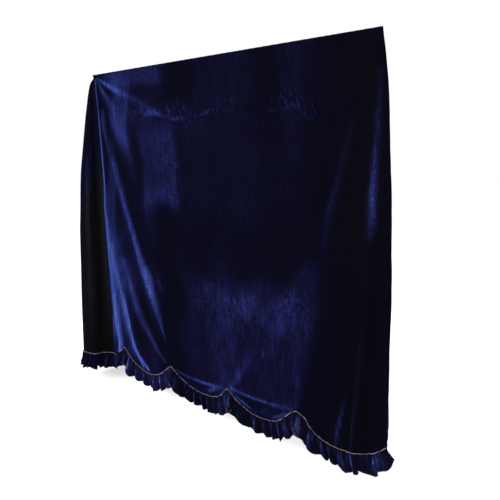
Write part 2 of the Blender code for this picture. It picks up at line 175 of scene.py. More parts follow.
# Painted highlights: streaks of sheen along the front's folds, where the raised pile shows blue, and lighter
# spots: strokes of points x, z, half width, strength
BRUSHED_AND_SHEEN: tuple[Rows, ...] = (
    # the upright ridge by the left seam, and its spreading foot
    (
        (-0.702, -0.02, 0.004, 0.55), (-0.698, -0.2, 0.006, 0.82), (-0.692, -0.42, 0.008, 0.8),
        (-0.689, -0.65, 0.01, 0.6), (-0.681, -0.8, 0.016, 0.48), (-0.669, -0.95, 0.022, 0.6),
        (-0.661, -1.15, 0.026, 0.76), (-0.655, -1.33, 0.026, 0.86), (-0.647, -1.4, 0.02, 0.78),
        (-0.672, -1.475, 0.008, 0.6),
    ),
    ((-0.69, -1.25, 0.006, 0.3), (-0.7, -1.4, 0.006, 0.65), (-0.702, -1.47, 0.005, 0.6)),
    ((-0.65, -1.38, 0.01, 0.8), (-0.668, -1.46, 0.007, 0.8)),
    # the fan from the left corner
    (
        (-0.692, -0.02, 0.003, 0.45), (-0.65, -0.08, 0.008, 0.46), (-0.588, -0.16, 0.022, 0.22),
        (-0.546, -0.24, 0.034, 0.22), (-0.511, -0.32, 0.034, 0.24), (-0.483, -0.39, 0.024, 0.17),
        (-0.458, -0.48, 0.016, 0.07),
    ),
    (
        (-0.69, -0.015, 0.003, 0.4), (-0.63, -0.044, 0.007, 0.62), (-0.57, -0.072, 0.01, 0.54),
        (-0.52, -0.094, 0.012, 0.36), (-0.465, -0.118, 0.014, 0.24), (-0.4, -0.14, 0.013, 0.17),
        (-0.33, -0.182, 0.012, 0.22), (-0.275, -0.19, 0.008, 0.12),
    ),
    # the long fold
    (
        (-0.66, -0.17, 0.009, 0.28), (-0.648, -0.28, 0.014, 0.36), (-0.616, -0.38, 0.017, 0.18),
        (-0.582, -0.47, 0.018, 0.24), (-0.548, -0.57, 0.017, 0.37), (-0.521, -0.65, 0.013, 0.42),
        (-0.487, -0.73, 0.013, 0.46), (-0.461, -0.8, 0.012, 0.5), (-0.433, -0.88, 0.014, 0.6),
        (-0.404, -0.95, 0.019, 0.73), (-0.375, -1.02, 0.019, 0.68), (-0.346, -1.09, 0.016, 0.58),
        (-0.324, -1.16, 0.014, 0.42), (-0.306, -1.23, 0.011, 0.37), (-0.288, -1.28, 0.008, 0.17),
    ),
    # the lower folds
    (
        (-0.655, -0.86, 0.024, 0.4), (-0.632, -0.95, 0.028, 0.55), (-0.612, -1.05, 0.021, 0.6),
        (-0.602, -1.12, 0.022, 0.72), (-0.586, -1.2, 0.024, 0.8), (-0.565, -1.28, 0.026, 0.84),
        (-0.543, -1.345, 0.025, 0.88), (-0.514, -1.4, 0.021, 0.86), (-0.488, -1.45, 0.016, 0.8),
        (-0.474, -1.49, 0.008, 0.6),
    ),
    ((-0.51, -1.385, 0.01, 0.5), (-0.47, -1.44, 0.011, 0.9), (-0.44, -1.495, 0.01, 0.9)),
    (
        (-0.578, -0.92, 0.025, 0.24), (-0.535, -1.02, 0.022, 0.27), (-0.518, -1.09, 0.021, 0.3),
        (-0.492, -1.16, 0.02, 0.36), (-0.458, -1.225, 0.02, 0.38), (-0.413, -1.28, 0.018, 0.37),
        (-0.371, -1.33, 0.013, 0.33), (-0.335, -1.372, 0.009, 0.28), (-0.3, -1.405, 0.007, 0.25),
    ),
    # lighter spots below the lid's edge
    ((-0.35, -0.2, 0.01, 0.24), (-0.27, -0.206, 0.008, 0.26), (-0.24, -0.216, 0.006, 0.1)),
    ((-0.19, -0.226, 0.006, 0.2), (-0.15, -0.23, 0.006, 0.3), (-0.1, -0.228, 0.005, 0.12)),
    ((-0.026, -0.218, 0.005, 0.2), (0.008, -0.212, 0.006, 0.26), (0.026, -0.204, 0.006, 0.1)),
    ((-0.392, -0.92, 0.006, 0.1), (-0.368, -0.985, 0.008, 0.3), (-0.356, -1.02, 0.006, 0.12)),
    ((-0.33, -0.95, 0.006, 0.08), (-0.306, -1.015, 0.008, 0.26), (-0.294, -1.05, 0.006, 0.1)),
    # the right half: two soft streaks, a broad light patch and the corner's crease
    (
        (0.64, -0.26, 0.01, 0.04), (0.618, -0.37, 0.01, 0.12), (0.592, -0.48, 0.01, 0.19),
        (0.568, -0.58, 0.012, 0.17), (0.555, -0.66, 0.012, 0.12), (0.545, -0.76, 0.01, 0.04),
    ),
    (
        (0.47, -0.82, 0.024, 0.1), (0.415, -0.94, 0.034, 0.2), (0.37, -1.06, 0.036, 0.13),
        (0.32, -1.17, 0.03, 0.07),
    ),
    (
        (0.505, -0.8, 0.03, 0.1), (0.508, -0.95, 0.03, 0.14), (0.48, -1.2, 0.024, 0.04),
        (0.458, -1.39, 0.008, 0.16),
    ),
    ((0.24, -1.2, 0.018, 0.1), (0.17, -1.33, 0.018, 0.2), (0.116, -1.415, 0.008, 0.28)),
    ((0.296, -1.14, 0.003, 0.3), (0.285, -1.222, 0.003, 0.34)),
    (
        (0.722, -0.12, 0.008, 0.1), (0.724, -0.3, 0.009, 0.26), (0.722, -0.4, 0.01, 0.31),
        (0.72, -0.5, 0.013, 0.42), (0.722, -0.59, 0.014, 0.38), (0.722, -0.66, 0.014, 0.12),
    ),
    (
        (0.664, -1.24, 0.004, 0.04), (0.652, -1.33, 0.006, 0.26), (0.644, -1.39, 0.006, 0.46),
        (0.635, -1.45, 0.006, 0.38), (0.628, -1.5, 0.004, 0.2),
    ),
    (
        (0.712, -0.98, 0.004, 0.06), (0.708, -1.2, 0.004, 0.12), (0.697, -1.38, 0.003, 0.28),
        (0.693, -1.49, 0.003, 0.26),
    ),
    # the rolled line from peak to peak, and the swags' turned cloth below it
    (
        (-0.225, -1.43, 0.006, 0.35), (-0.15, -1.446, 0.007, 0.55), (-0.05, -1.446, 0.008, 0.62),
        (0.06, -1.434, 0.008, 0.42),
    ),
    ((0.02, -1.455, 0.01, 0.48), (-0.01, -1.476, 0.011, 0.56), (-0.035, -1.492, 0.008, 0.4)),
    (
        (0.12, -1.414, 0.006, 0.4), (0.2, -1.421, 0.006, 0.5), (0.32, -1.421, 0.006, 0.48),
        (0.43, -1.408, 0.007, 0.25),
    ),
    ((0.14, -1.446, 0.004, 0.25), (0.18, -1.468, 0.005, 0.5), (0.215, -1.492, 0.004, 0.45)),
    ((0.4, -1.448, 0.008, 0.35), (0.36, -1.474, 0.008, 0.5), (0.335, -1.492, 0.006, 0.3)),
    ((0.302, -1.462, 0.005, 0.22), (0.268, -1.496, 0.004, 0.25)),
)
# Painted shade: nearly black lines in the creases beside the folds and under the rolled line between peaks,
# where the pile also lies flat, in the same columns
PRESSED_AND_SHADED: tuple[Rows, ...] = (
    ((-0.682, -0.06, 0.01, 0.75), (-0.662, -0.13, 0.014, 0.6), (-0.655, -0.2, 0.012, 0.3)),
    ((-0.66, -0.045, 0.006, 0.6), (-0.6, -0.085, 0.01, 0.55), (-0.57, -0.11, 0.012, 0.2)),
    (
        (-0.63, -0.2, 0.012, 0.45), (-0.59, -0.32, 0.018, 0.6), (-0.545, -0.45, 0.022, 0.6),
        (-0.5, -0.57, 0.026, 0.6),
    ),
    ((-0.672, -0.28, 0.01, 0.3), (-0.664, -0.42, 0.01, 0.2), (-0.65, -0.5, 0.01, 0.05)),
    (
        (-0.5, -0.57, 0.03, 0.6), (-0.44, -0.72, 0.04, 0.65), (-0.4, -0.84, 0.034, 0.5),
        (-0.35, -0.9, 0.02, 0.2),
    ),
    (
        (-0.642, -1.06, 0.005, 0.3), (-0.632, -1.22, 0.006, 0.52), (-0.611, -1.36, 0.006, 0.65),
        (-0.598, -1.41, 0.006, 0.6),
    ),
    ((-0.55, -1.1, 0.01, 0.3), (-0.522, -1.22, 0.014, 0.3), (-0.47, -1.34, 0.016, 0.3)),
    ((-0.44, -1.08, 0.02, 0.5), (-0.4, -1.18, 0.022, 0.6), (-0.34, -1.3, 0.02, 0.5)),
    ((-0.15, -1.462, 0.01, 0.75), (-0.08, -1.478, 0.014, 0.85), (-0.02, -1.462, 0.006, 0.3)),
    ((0.17, -1.44, 0.008, 0.5), (0.25, -1.462, 0.016, 0.7), (0.33, -1.446, 0.01, 0.5)),
)
# Soft-edged lighter patches, painted sheen of the pile: x from, x to, z from, z to, edge across, edge down,
# slant, strength
SHEEN_PATCHES: Rows = (
    (-0.59, -0.462, -0.06, -0.36, 0.03, 0.12, 0.06, 0.3),
    (-0.66, -0.25, 0.04, -0.08, 0.11, 0.05, 0.0, 0.32),
    (-0.405, -0.165, -0.27, -0.625, 0.06, 0.11, 0.04, 0.28),
    (-0.32, -0.18, -0.55, -0.64, 0.06, 0.07, 0.0, 0.12), (-0.4, -0.33, -0.56, -0.76, 0.04, 0.1, 0.0, 0.12),
    (-0.5, -0.3, -0.11, -0.23, 0.08, 0.08, 0.0, 0.14), (-0.46, -0.02, -0.18, -0.3, 0.14, 0.08, 0.0, 0.1),
    (-0.69, -0.56, -0.76, -1.06, 0.06, 0.12, 0.0, 0.26),
    (-0.14, 0.58, -0.925, -1.54, 0.16, 0.15, 0.0, 0.17), (-0.13, 0.2, -0.95, -1.08, 0.1, 0.07, 0.0, 0.1),
    (0.18, 0.48, -0.9, -1.09, 0.16, 0.12, 0.0, 0.08), (0.07, 0.2, -0.8, -1.06, 0.06, 0.12, 0.0, 0.1),
    (0.04, 0.2, -1.06, -1.4, 0.12, 0.2, 0.0, 0.04), (-0.5, -0.37, -1.32, -1.56, 0.07, 0.1, 0.1, 0.16),
    (-0.68, -0.595, -0.38, -0.86, 0.04, 0.14, 0.04, 0.3),
    (-0.59, -0.45, -0.9, -1.48, 0.08, 0.14, 0.14, 0.2), (0.03, 0.16, 0.04, -0.92, 0.06, 0.2, 0.0, 0.07),
    (-0.11, 0.2, -0.06, -0.72, 0.16, 0.24, 0.0, 0.05), (-0.69, -0.5, -0.56, -0.9, 0.05, 0.16, 0.0, 0.1),
)
# Bands where the pile is crushed in short strokes, in the same columns
CRUSHED: Rows = (
    (-0.45, -0.02, -0.165, -0.245, 0.08, 0.04, 0.0, 0.9), (0.02, 0.2, -0.18, -0.24, 0.06, 0.04, 0.0, 0.6),
    (0.29, 0.52, -0.175, -0.255, 0.06, 0.04, 0.0, 0.8), (-0.42, -0.12, -0.33, -0.62, 0.1, 0.12, 0.0, 0.25),
    (-0.12, 0.54, -0.92, -1.16, 0.12, 0.12, 0.0, 0.2), (0.06, 0.18, -0.95, -1.04, 0.05, 0.05, 0.0, 0.55),
    (0.36, 0.48, -0.9, -1.06, 0.08, 0.08, 0.0, 0.45), (-0.4, -0.28, -0.93, -1.05, 0.05, 0.05, 0.0, 0.8),
)
# Heights of the front's and the sides' fine relief, in metres
HEM_WAVE = 0.0010
HEM_GATHER = 0.0007
TOP_GATHER = 0.0008
CRUMPLE = 0.0011
SIDE_SWING = 0.0045
CREASE_RIDGE = 0.006
EDGE_TURN = 0.012
# The pile's tone where nothing marks it, which falls towards the right, its darker fields in the columns of
# the sheen patches, and the painted shade of the right corner's flute at the lower right, which follows the
# patches
NAP_LEVEL = 0.150
NAP_LEVEL_RIGHT = 0.040
DARKENED: Rows = (
    (-0.235, -0.07, 0.03, -0.15, 0.12, 0.1, 0.0, 0.85), (-0.3, -0.158, -0.64, -1.45, 0.09, 0.18, 0.0, 0.75),
    (-0.15, 0.42, -0.62, -0.86, 0.2, 0.16, 0.0, 0.45),
)
SHADED_FLUTE = (0.555, 0.8, -0.86, -1.6, 0.09, 0.12, 0.19, 0.75)
PATCH_WANDER = 0.026
PATCH_CONTRAST = 1.5
# Strength of the lighter streaks of painted sheen on the side panels' folds
BACK_FOLDS = 0.24
# Lit folds of the left flute: share along it, width, strength
FLUTE_LIGHTS: Rows = ((0.10, 0.035, 0.15), (0.30, 0.05, 0.19))
# Strength of the painted highlight on each front strip's folds
SWAG_HIGHLIGHT = (0.40, 0.85, 0.52, 0.56, 1.00)
# How pale each front strip's cloth is away from its painted highlights
SWAG_PALE = (0.08, 0.20, 0.08, 0.07, 0.09)


class Side(Enum):
    """The two side panels, by the sign of their x."""

    LEFT = -1
    RIGHT = 1


def ease(value: Array | float) -> Array:
    """Rises smoothly from 0 to 1 while value does.

    Args:
        value: Any numbers; those outside 0 to 1 are held there.

    Returns:
        The eased numbers.
    """
    held = np.clip(value, 0.0, 1.0)
    return held * held * (3 - 2 * held)


def mix(a: Array | float, b: Array | float, share: Array | float) -> Array:
    """Goes from a to b in a straight line as share goes from 0 to 1."""
    return a + (b - a) * share


def bell(offset: Array, width: Array | float) -> Array:
    """A smooth hump: 1 where the offset is 0, and almost 0 two widths away."""
    return np.exp(-((offset / width) ** 2))


def between_ends(share: Array, start: float, end: float) -> Array:
    """Rises from 0 at the share's start and falls to 0 at its end, over these lengths."""
    return ease(share / start) * ease((1 - share) / end)


def swaying(at: Array, pitch: float, sway: float, turns: float) -> Array:
    """A wave whose pitch sways along the cloth.

    Args:
        at: Distance along the cloth in metres.
        pitch: The wave's mean length in metres.
        sway: How far its phase wanders, in radians.
        turns: Radians in a metre of that wandering.

    Returns:
        Heights from -1 to 1.
    """
    return np.sin(at * math.tau / pitch + sway * np.sin(at * turns))


def grid(columns: int, rows: int) -> tuple[Array, Array]:
    """Shares across and down a grid of so many steps."""
    return np.meshgrid(np.linspace(0, 1, columns + 1), np.linspace(0, 1, rows + 1))


def unit(vectors: Array) -> Array:
    """The vectors at a length of one."""
    return vectors / np.maximum(np.linalg.norm(vectors, axis=-1, keepdims=True), 1e-12)


def read_table(rows: Rows, key: Array | float, column: int = 1) -> Array:
    """Reads a table's column on a smooth curve through its rows.

    Args:
        rows: The table, with its key in the first column.
        key: Where to read it; outside the table its end rows hold.
        column: The column that is read.

    Returns:
        The values at those keys.
    """
    table = np.array(rows)
    keys, values = table[:, 0], table[:, column]
    last = len(keys) - 1
    after, before = np.minimum(np.arange(last + 1) + 1, last), np.maximum(np.arange(last + 1) - 1, 0)
    slopes = (values[after] - values[before]) / (keys[after] - keys[before])
    held = np.clip(key, keys[0], keys[-1])
    low = np.clip(np.searchsorted(keys, held, side="left") - 1, 0, last - 1)
    span = keys[low + 1] - keys[low]
    t = (held - keys[low]) / span
    return (
        (2 * t**3 - 3 * t**2 + 1) * values[low]
        + (t**3 - 2 * t**2 + t) * slopes[low] * span
        + (3 * t**2 - 2 * t**3) * values[low + 1]
        + (t**3 - t**2) * slopes[low + 1] * span
    )


def smooth_interp(at: Array, places: Array, values: Array) -> Array:
    """Values between places, with a smooth turn at each.

    Args:
        at: Where they are read.
        places: Places in rising order.
        values: The values at those places.

    Returns:
        The values there.
    """
    low = np.clip(np.searchsorted(places, at, side="right") - 1, 0, len(places) - 2)
    share = (at - places[low]) / (places[low + 1] - places[low])
    return mix(values[low], values[low + 1], ease(share))


def ripple(u: Array, v: Array, seed: int, waves: int = 7, finest: float = 24.0) -> Array:
    """An uneven surface of gentle waves that run mostly down the cloth.

    Args:
        u: Distance across the cloth in metres.
        v: Distance down it in metres.
        seed: Fixes the waves.
        waves: How many are added up.
        finest: Turns in a metre of the finest wave.

    Returns:
        Heights between about -1 and 1.
    """
    chance = np.random.default_rng(seed)
    total = np.zeros(np.broadcast(u, v).shape)
    for index in range(waves):
        across = finest * chance.uniform(0.2, 1.0)
        down = finest * chance.uniform(-0.14, 0.14)
        start = chance.uniform(0, math.tau)
        total += np.sin(across * u * math.tau / 2 + down * v * math.tau / 2 + start)
    return total / waves**0.5 / 1.4


def stroke_field(stroke: Rows, x: Array, z: Array) -> Array:
    """How strongly one soft stroke covers each point.

    Args:
        stroke: Its points, each with x, z, half width and strength.
        x: The points' x.
        z: The points' z.

    Returns:
        A strength from 0 to 1 at each point.
    """
    covered = np.zeros_like(x)
    for (x0, z0, width0, strength0), (x1, z1, width1, strength1) in zip(stroke, stroke[1:]):
        run_x, run_z = x1 - x0, z1 - z0
        along = np.clip(((x - x0) * run_x + (z - z0) * run_z) / (run_x**2 + run_z**2), 0, 1)
        off = np.hypot(x - x0 - run_x * along, z - z0 - run_z * along)
        width = mix(width0, width1, along)
        covered = np.maximum(covered, mix(strength0, strength1, along) * np.exp(-((off / width) ** 2) * 0.7))
    return covered


def patch_field(patch: tuple[float, ...], x: Array, z: Array) -> Array:
    """How strongly one soft-edged patch covers each point, from its row of a table.

    Args:
        patch: Its row: left, right, top, foot, edges across and down, slant, strength.
        x: The points' x.
        z: The points' z.

    Returns:
        A strength at each point.
    """
    left, right, top, foot, edge_x, edge_z, slant, strength = patch
    across = x - slant * (z - top)
    inside = ease((across - left) / edge_x + 0.5) * ease((right - across) / edge_x + 0.5)
    return strength * inside * ease((top - z) / edge_z + 0.5) * ease((z - foot) / edge_z + 0.5)


@dataclass
class Tree:
    """A node tree and the short way in which this file writes one."""

    tree: bpy.types.NodeTree

    def node(self, kind: str, inputs: dict[Any, Any] | None = None, **settings: Any) -> Node:
        """Adds a node.

        Args:
            kind: The node's type.
            inputs: Its inputs by name or number, each a value or another node's output.
            settings: Its own settings.

        Returns:
            The new node.
        """
        made = self.tree.nodes.new(kind)
        for name, value in settings.items():
            setattr(made, name, value)
        self.feed(made, inputs or {})
        return made

    def feed(self, made: Node, inputs: dict[Any, Any]) -> None:
        """Gives a node its inputs.

        Args:
            made: The node.
            inputs: Its inputs by name or number, each a value or another node's output.
        """
        for name, value in inputs.items():
            if isinstance(value, Socket):
                self.tree.links.new(value, made.inputs[name])
            else:
                made.inputs[name].default_value = value

    def attribute(self, title: str, output: str = "Fac") -> Socket:
        """Reads one of the cloth's attributes."""
        return self.node("ShaderNodeAttribute", attribute_name=title).outputs[output]

    def math(self, operation: str, *values: Any) -> Socket:
        """Adds a Math node on numbers or outputs and gives its output."""
        return self.node("ShaderNodeMath", dict(enumerate(values)), operation=operation).outputs[0]

    def times(self, *values: Any) -> Socket:
        """Multiplies two numbers or outputs."""
        return self.math("MULTIPLY", *values)

    def plus(self, *values: Any) -> Socket:
        """Adds two numbers or outputs."""
        return self.math("ADD", *values)

    def minus(self, *values: Any) -> Socket:
        """Takes the second number or output from the first."""
        return self.math("SUBTRACT", *values)

    def vector(self, operation: str, inputs: dict[Any, Any]) -> Socket:
        """Adds a Vector Math node and gives its output."""
        return self.node("ShaderNodeVectorMath", inputs, operation=operation).outputs[0]

    def circle(self, corners: int, radius: Socket) -> Socket:
        """Adds a circle curve and gives it."""
        sizes = {"Resolution": corners, "Radius": radius}
        return self.node("GeometryNodeCurvePrimitiveCircle", sizes).outputs[0]

    def spaced(self, curve: Socket, gap: Socket) -> Any:
        """Adds points along a curve, a gap apart, and gives the node's outputs."""
        return self.node("GeometryNodeCurveToPoints", {"Curve": curve, "Length": gap}, mode="LENGTH").outputs

    def noise(
        self, vector: Socket, stretch: tuple[float, ...], turn: float = 0.0, detail: float = 2.0
    ) -> Socket:
        """Adds a noise whose grain is stretched and turned on the cloth.

        Args:
            vector: The cloth's own coordinates, in metres.
            stretch: Grains in a metre, across and down.
            turn: Turn of the grain in radians.
            detail: The noise's detail.

        Returns:
            The noise's value.
        """
        turned = self.node("ShaderNodeMapping", {"Vector": vector, "Rotation": (0, 0, turn)})
        placed = self.node("ShaderNodeMapping", {"Vector": turned.outputs[0], "Scale": stretch})
        inputs = {"Vector": placed.outputs[0], "Scale": 1.0, "Detail": detail}
        return self.node("ShaderNodeTexNoise", inputs).outputs[0]


def new_object(name: str, data: Any) -> Piece:
    """Puts a new object into the scene.

    Args:
        name: The object's name.
        data: What it shows.

    Returns:
        The new object.
    """
    made = bpy.data.objects.new(name, data)
    bpy.context.scene.collection.objects.link(made)
    return made


def new_material(name: str) -> tuple[Material, Tree, Node]:
    """Starts a material.

    Args:
        name: The material's name.

    Returns:
        The material, its tree and its shader.
    """
    material = bpy.data.materials.new(name)
    material.use_nodes = True
    return material, Tree(material.node_tree), material.node_tree.nodes["Principled BSDF"]


# The velvet's grain: stretch across and down, turn, and how strongly it marks the tone. The first two are
# the lines down the cloth and the pile itself
VELVET_GRAINS = (
    ((230.0, 9.0, 1.0), 0.0, 0.9),
    ((1400.0, 1100.0, 1.0), 0.0, 0.5),
    ((105.0, 13.0, 1.0), 0.0, 1.15),
    ((190.0, 95.0, 1.0), 0.15, 1.5),
    ((7.0, 120.0, 1.0), 0.0, 0.6),
    ((45.0, 2.5, 1.0), 0.02, 0.7),
)


@dataclass(frozen=True)
class Velvet:
    """Silk-pile velvet: near black to blue along a painted tone, which holds the pile's marks with painted
    sheen and shade.
    """

    name: str
    tones: Rows
    sheen: float
    sheen_tint: tuple[float, float, float]
    pile_height: float = 0.0004
    crush_strength: float = 0.26

    def build(self) -> Material:
        """Makes the material, which reads the cloth's attributes: its tone with painted highlights and
        shade, its crush marks, its painted dulling shade, and its place.

        Returns:
            The material.
        """
        material, tree, shader = new_material(self.name)
        cloth = tree.attribute("cloth", "Vector")
        pile_and_light, crush_and_sheen, shade_grey = (tree.attribute(title) for title in ("pile_and_light", "crush_and_sheen", "shade_grey"))
        clouds = tree.noise(cloth, (9.0, 5.0, 1.0), 0.3, 3.0)
        grains = [tree.noise(cloth, stretch, turn) for stretch, turn, _ in VELVET_GRAINS]
        lines, pile = grains[:2]
        strokes = tree.noise(cloth, (125.0, 30.0, 1.0), 0.10, 1.5)
        marks = tree.node("ShaderNodeMapRange", {0: strokes, 1: 0.46, 2: 0.74, 3: -0.12, 4: 1.0}).outputs[0]
        # Crush marks; on the ruffles they lie in the painted highlights and add to them
        worn = tree.times(crush_and_sheen, tree.times(marks, self.crush_strength))
        # The tone carries the cloth's painted highlights and shade
        tone = tree.times(pile_and_light, tree.plus(0.62, tree.times(clouds, 0.76)))
        reach = tree.plus(tree.times(pile_and_light, 0.8), 0.045)
        for grain, (_, _, depth) in zip(grains, VELVET_GRAINS):
            part = tree.times(tree.minus(grain, 0.5), depth)
            tone = tree.plus(tone, tree.times(part, reach))
        tone = tree.plus(tone, worn)
        ramp = tree.node("ShaderNodeValToRGB", {0: tone})
        stops = ramp.color_ramp.elements
        while len(stops) < len(self.tones):
            stops.new(0.5)
        for stop, (place, *colour) in zip(stops, self.tones):
            stop.position = place
            stop.color = (*colour, 1.0)
        # Painted shade: where the dulling attribute is set, the colour goes dull and colourless
        plain = tree.node("ShaderNodeRGBToBW", {0: ramp.outputs[0]}).outputs[0]
        dull = tree.plus(tree.times(plain, 0.85), 0.0004)
        colour = tree.node("ShaderNodeMix", {0: shade_grey, 6: ramp.outputs[0], 7: dull}, data_type="RGBA")
        surface = tree.plus(pile, tree.times(lines, 0.5))
        raised = {"Strength": 0.35, "Distance": self.pile_height, "Height": surface}
        bump = tree.node("ShaderNodeBump", raised)
        looks = {
            "Base Color": colour.outputs[2],
            "Roughness": tree.minus(0.92, tree.times(pile, 0.16)),
            "Normal": bump.outputs[0],
            "Specular IOR Level": 0.0,
            "Sheen Weight": self.sheen,
            "Sheen Roughness": 0.38,
            "Sheen Tint": (*self.sheen_tint, 1.0),
        }
        tree.feed(shader, looks)
        return material


@dataclass(frozen=True)
class Backing:
    """The velvet's plain woven back: dull threads over and under each other."""

    name: str
    dark: tuple[float, float, float]
    light: tuple[float, float, float]
    threads: float = 620.0

    def build(self) -> Material:
        """Makes the material, which reads the cloth's attribute cloth.

        Returns:
            The material.
        """
        material, tree, shader = new_material(self.name)
        cloth = tree.attribute("cloth", "Vector")
        parts = tree.node("ShaderNodeSeparateXYZ", {0: cloth}).outputs
        waves = [tree.math("SINE", tree.times(part, self.threads * math.tau)) for part in parts[:2]]
        weave = tree.times(waves[0], waves[1])
        slubs = tree.noise(cloth, (14.0, 320.0, 1.0), 0.0, 2.0)
        clouds = tree.noise(cloth, (4.0, 4.0, 1.0), 0.0, 3.0)
        level = tree.plus(tree.times(weave, 0.16), tree.times(slubs, 0.5))
        level = tree.plus(level, tree.times(clouds, 0.45))
        colour = tree.node("ShaderNodeMix", {6: (*self.dark, 1.0), 7: (*self.light, 1.0)}, data_type="RGBA")
        rough = tree.minus(0.95, tree.times(slubs, 0.1))
        bump = tree.node("ShaderNodeBump", {"Strength": 0.4, "Distance": 0.0003, "Height": level})
        tree.feed(colour, {0: level})
        looks = {"Base Color": colour.outputs[2], "Roughness": rough, "Normal": bump.outputs[0]}
        tree.feed(shader, {**looks, "Specular IOR Level": 0.0})
        return material


@dataclass(frozen=True)
class Thread:
    """Spun thread: a soft twist of lighter and darker fibres."""

    name: str
    dark: tuple[float, float, float]
    light: tuple[float, float, float]
    sheen: float = 0.3

    def build(self) -> Material:
        """Makes the material on Object coordinates.

        Returns:
            The material.
        """
        material, tree, shader = new_material(self.name)
        place = tree.node("ShaderNodeTexCoord").outputs["Object"]
        fibres = tree.noise(place, (900.0, 900.0, 900.0), 0.4, 2.0)
        worn = tree.noise(place, (22.0, 22.0, 22.0), 0.0, 3.0)
        level = tree.plus(tree.times(fibres, 0.7), tree.times(worn, 0.5))
        level = tree.minus(level, 0.1)
        colour = tree.node("ShaderNodeMix", {6: (*self.dark, 1.0), 7: (*self.light, 1.0)}, data_type="RGBA")
        rough = tree.minus(0.8, tree.times(fibres, 0.3))
        bump = tree.node("ShaderNodeBump", {"Strength": 0.5, "Distance": 0.0002, "Height": fibres})
        tree.feed(colour, {0: level})
        looks = {"Base Color": colour.outputs[2], "Roughness": rough, "Normal": bump.outputs[0]}
        tree.feed(shader, {**looks, "Specular IOR Level": 0.25, "Sheen Weight": self.sheen})
        return material


VELVET = Velvet(
    "navy_velvet",
    (
        (0.0, 0.0015, 0.0014, 0.0036),
        (0.13, 0.0024, 0.0022, 0.0097),
        (0.28, 0.0047, 0.0055, 0.0280),
        (0.45, 0.0095, 0.0125, 0.0680),
        (0.65, 0.0172, 0.0300, 0.1350),
        (1.0, 0.0370, 0.0680, 0.2500),
    ),
    0.05,
    (0.12, 0.20, 1.0),
)
VELVET_RUFFLE = Velvet(
    "navy_velvet_ruffle",
    (
        (0.0, 0.0015, 0.0014, 0.0040),
        (0.13, 0.0030, 0.0028, 0.0105),
        (0.28, 0.0058, 0.0065, 0.0270),
        (0.45, 0.0110, 0.0145, 0.0600),
        (0.65, 0.0200, 0.0330, 0.1200),
        (1.0, 0.0400, 0.0720, 0.2300),
    ),
    0.05,
    (0.12, 0.20, 1.0),
)
BACKING = Backing("velvet_backing", (0.0035, 0.0036, 0.0090), (0.0120, 0.0125, 0.0260))
COPPER_THREAD = Thread("copper_thread", (0.080, 0.042, 0.040), (0.250, 0.160, 0.158))
NAVY_THREAD = Thread("navy_thread", (0.004, 0.004, 0.016), (0.020, 0.022, 0.075), 0.1)


@dataclass
class Finishes:
    """The materials that the pieces share."""

    velvet: Material = field(init=False)
    ruffle_velvet: Material = field(init=False)
    backing: Material = field(init=False)
    copper: Material = field(init=False)
    navy_thread: Material = field(init=False)

    def __post_init__(self) -> None:
        """Builds each material once."""
        self.velvet = VELVET.build()
        self.ruffle_velvet = VELVET_RUFFLE.build()
        self.backing = BACKING.build()
        self.copper = COPPER_THREAD.build()
        self.navy_thread = NAVY_THREAD.build()


@dataclass
class Cloth:
    """A sheet of cloth as a grid of points, with the size it was cut to.

    The first index runs down the cloth and the second across it.
    """

    points: Array
    flat: tuple[float, float]
    outward: Array

    def normals(self) -> Array:
        """The cloth's outward direction at each point.

        Returns:
            Directions of length one.
        """
        across = np.gradient(self.points, axis=1)
        down = np.gradient(self.points, axis=0)
        normal = unit(np.cross(across, down))
        return normal if (normal * self.outward).sum() > 0 else -normal

    def line(self, index: Any, lift: float) -> Array:
        """The points of a row or column, lifted off the cloth.

        Args:
            index: The index of that row or column.
            lift: How far off the middle of the cloth they lie.

        Returns:
            The lifted points.
        """
        return self.points[index] + self.normals()[index] * lift

    def build(
        self, name: str, materials: list[Material], fields: dict[str, Array], thickness: float
    ) -> Piece:
        """Makes the sheet's object.

        Args:
            name: The piece's name.
            materials: What its face and its back are made of.
            fields: Numbers at each point that the materials read.
            thickness: How thick the cloth is.

        Returns:
            The new object, with its thickness as a live modifier.
        """
        rows, columns = self.points.shape[:2]
        index = np.arange(rows * columns).reshape(rows, columns)
        quads = np.stack((index[:-1, :-1], index[:-1, 1:], index[1:, 1:], index[1:, :-1]), -1).reshape(-1, 4)
        corner = self.points.reshape(-1, 3)[quads[:, :3]]
        facing = (np.cross(corner[:, 1] - corner[:, 0], corner[:, 2] - corner[:, 0]) * self.outward).sum()
        if facing < 0:
            quads = quads[:, ::-1]
        mesh = bpy.data.meshes.new(name)
        mesh.from_pydata(self.points.reshape(-1, 3).tolist(), [], quads.tolist())
        mesh.shade_smooth()
        u, v = np.meshgrid(np.linspace(0, self.flat[0], columns), np.linspace(0, self.flat[1], rows))
        place = np.stack((u, v, np.zeros_like(u)), -1)
        cloth = mesh.attributes.new("cloth", "FLOAT_VECTOR", "POINT")
        cloth.data.foreach_set("vector", place.ravel())
        for title in ("pile_and_light", "crush_and_sheen", "shade_grey"):
            values = np.broadcast_to(fields.get(title, np.zeros(())), (rows, columns))
            attribute = mesh.attributes.new(title, "FLOAT", "POINT")
            attribute.data.foreach_set("value", np.ascontiguousarray(values, dtype=np.float32).ravel())
        for material in materials:
            mesh.materials.append(material)
        piece = new_object(name, mesh)
        solid = piece.modifiers.new("thickness", "SOLIDIFY")
        solid.thickness = thickness
        solid.offset = 0.0
        solid.material_offset = 1
        return piece


def hem_swags(x: Array) -> tuple[Array, Array, Array, Array]:
    """The swag over each x.

    Args:
        x: Places across the front.

    Returns:
        How far across its swag each lies, the height of the line from peak to peak, the swag's depth
        and how far it leans back.
    """
    peaks = np.array(PEAKS)
    index = np.clip(np.searchsorted(peaks[:, 0], x, side="left") - 1, 0, len(peaks) - 2)
    low, high = peaks[index], peaks[index + 1]
    across = np.clip((x - low[..., 0]) / (high[..., 0] - low[..., 0]), 0.0, 1.0)
    return across, mix(low[..., 1], high[..., 1], across), low[..., 3], low[..., 4]


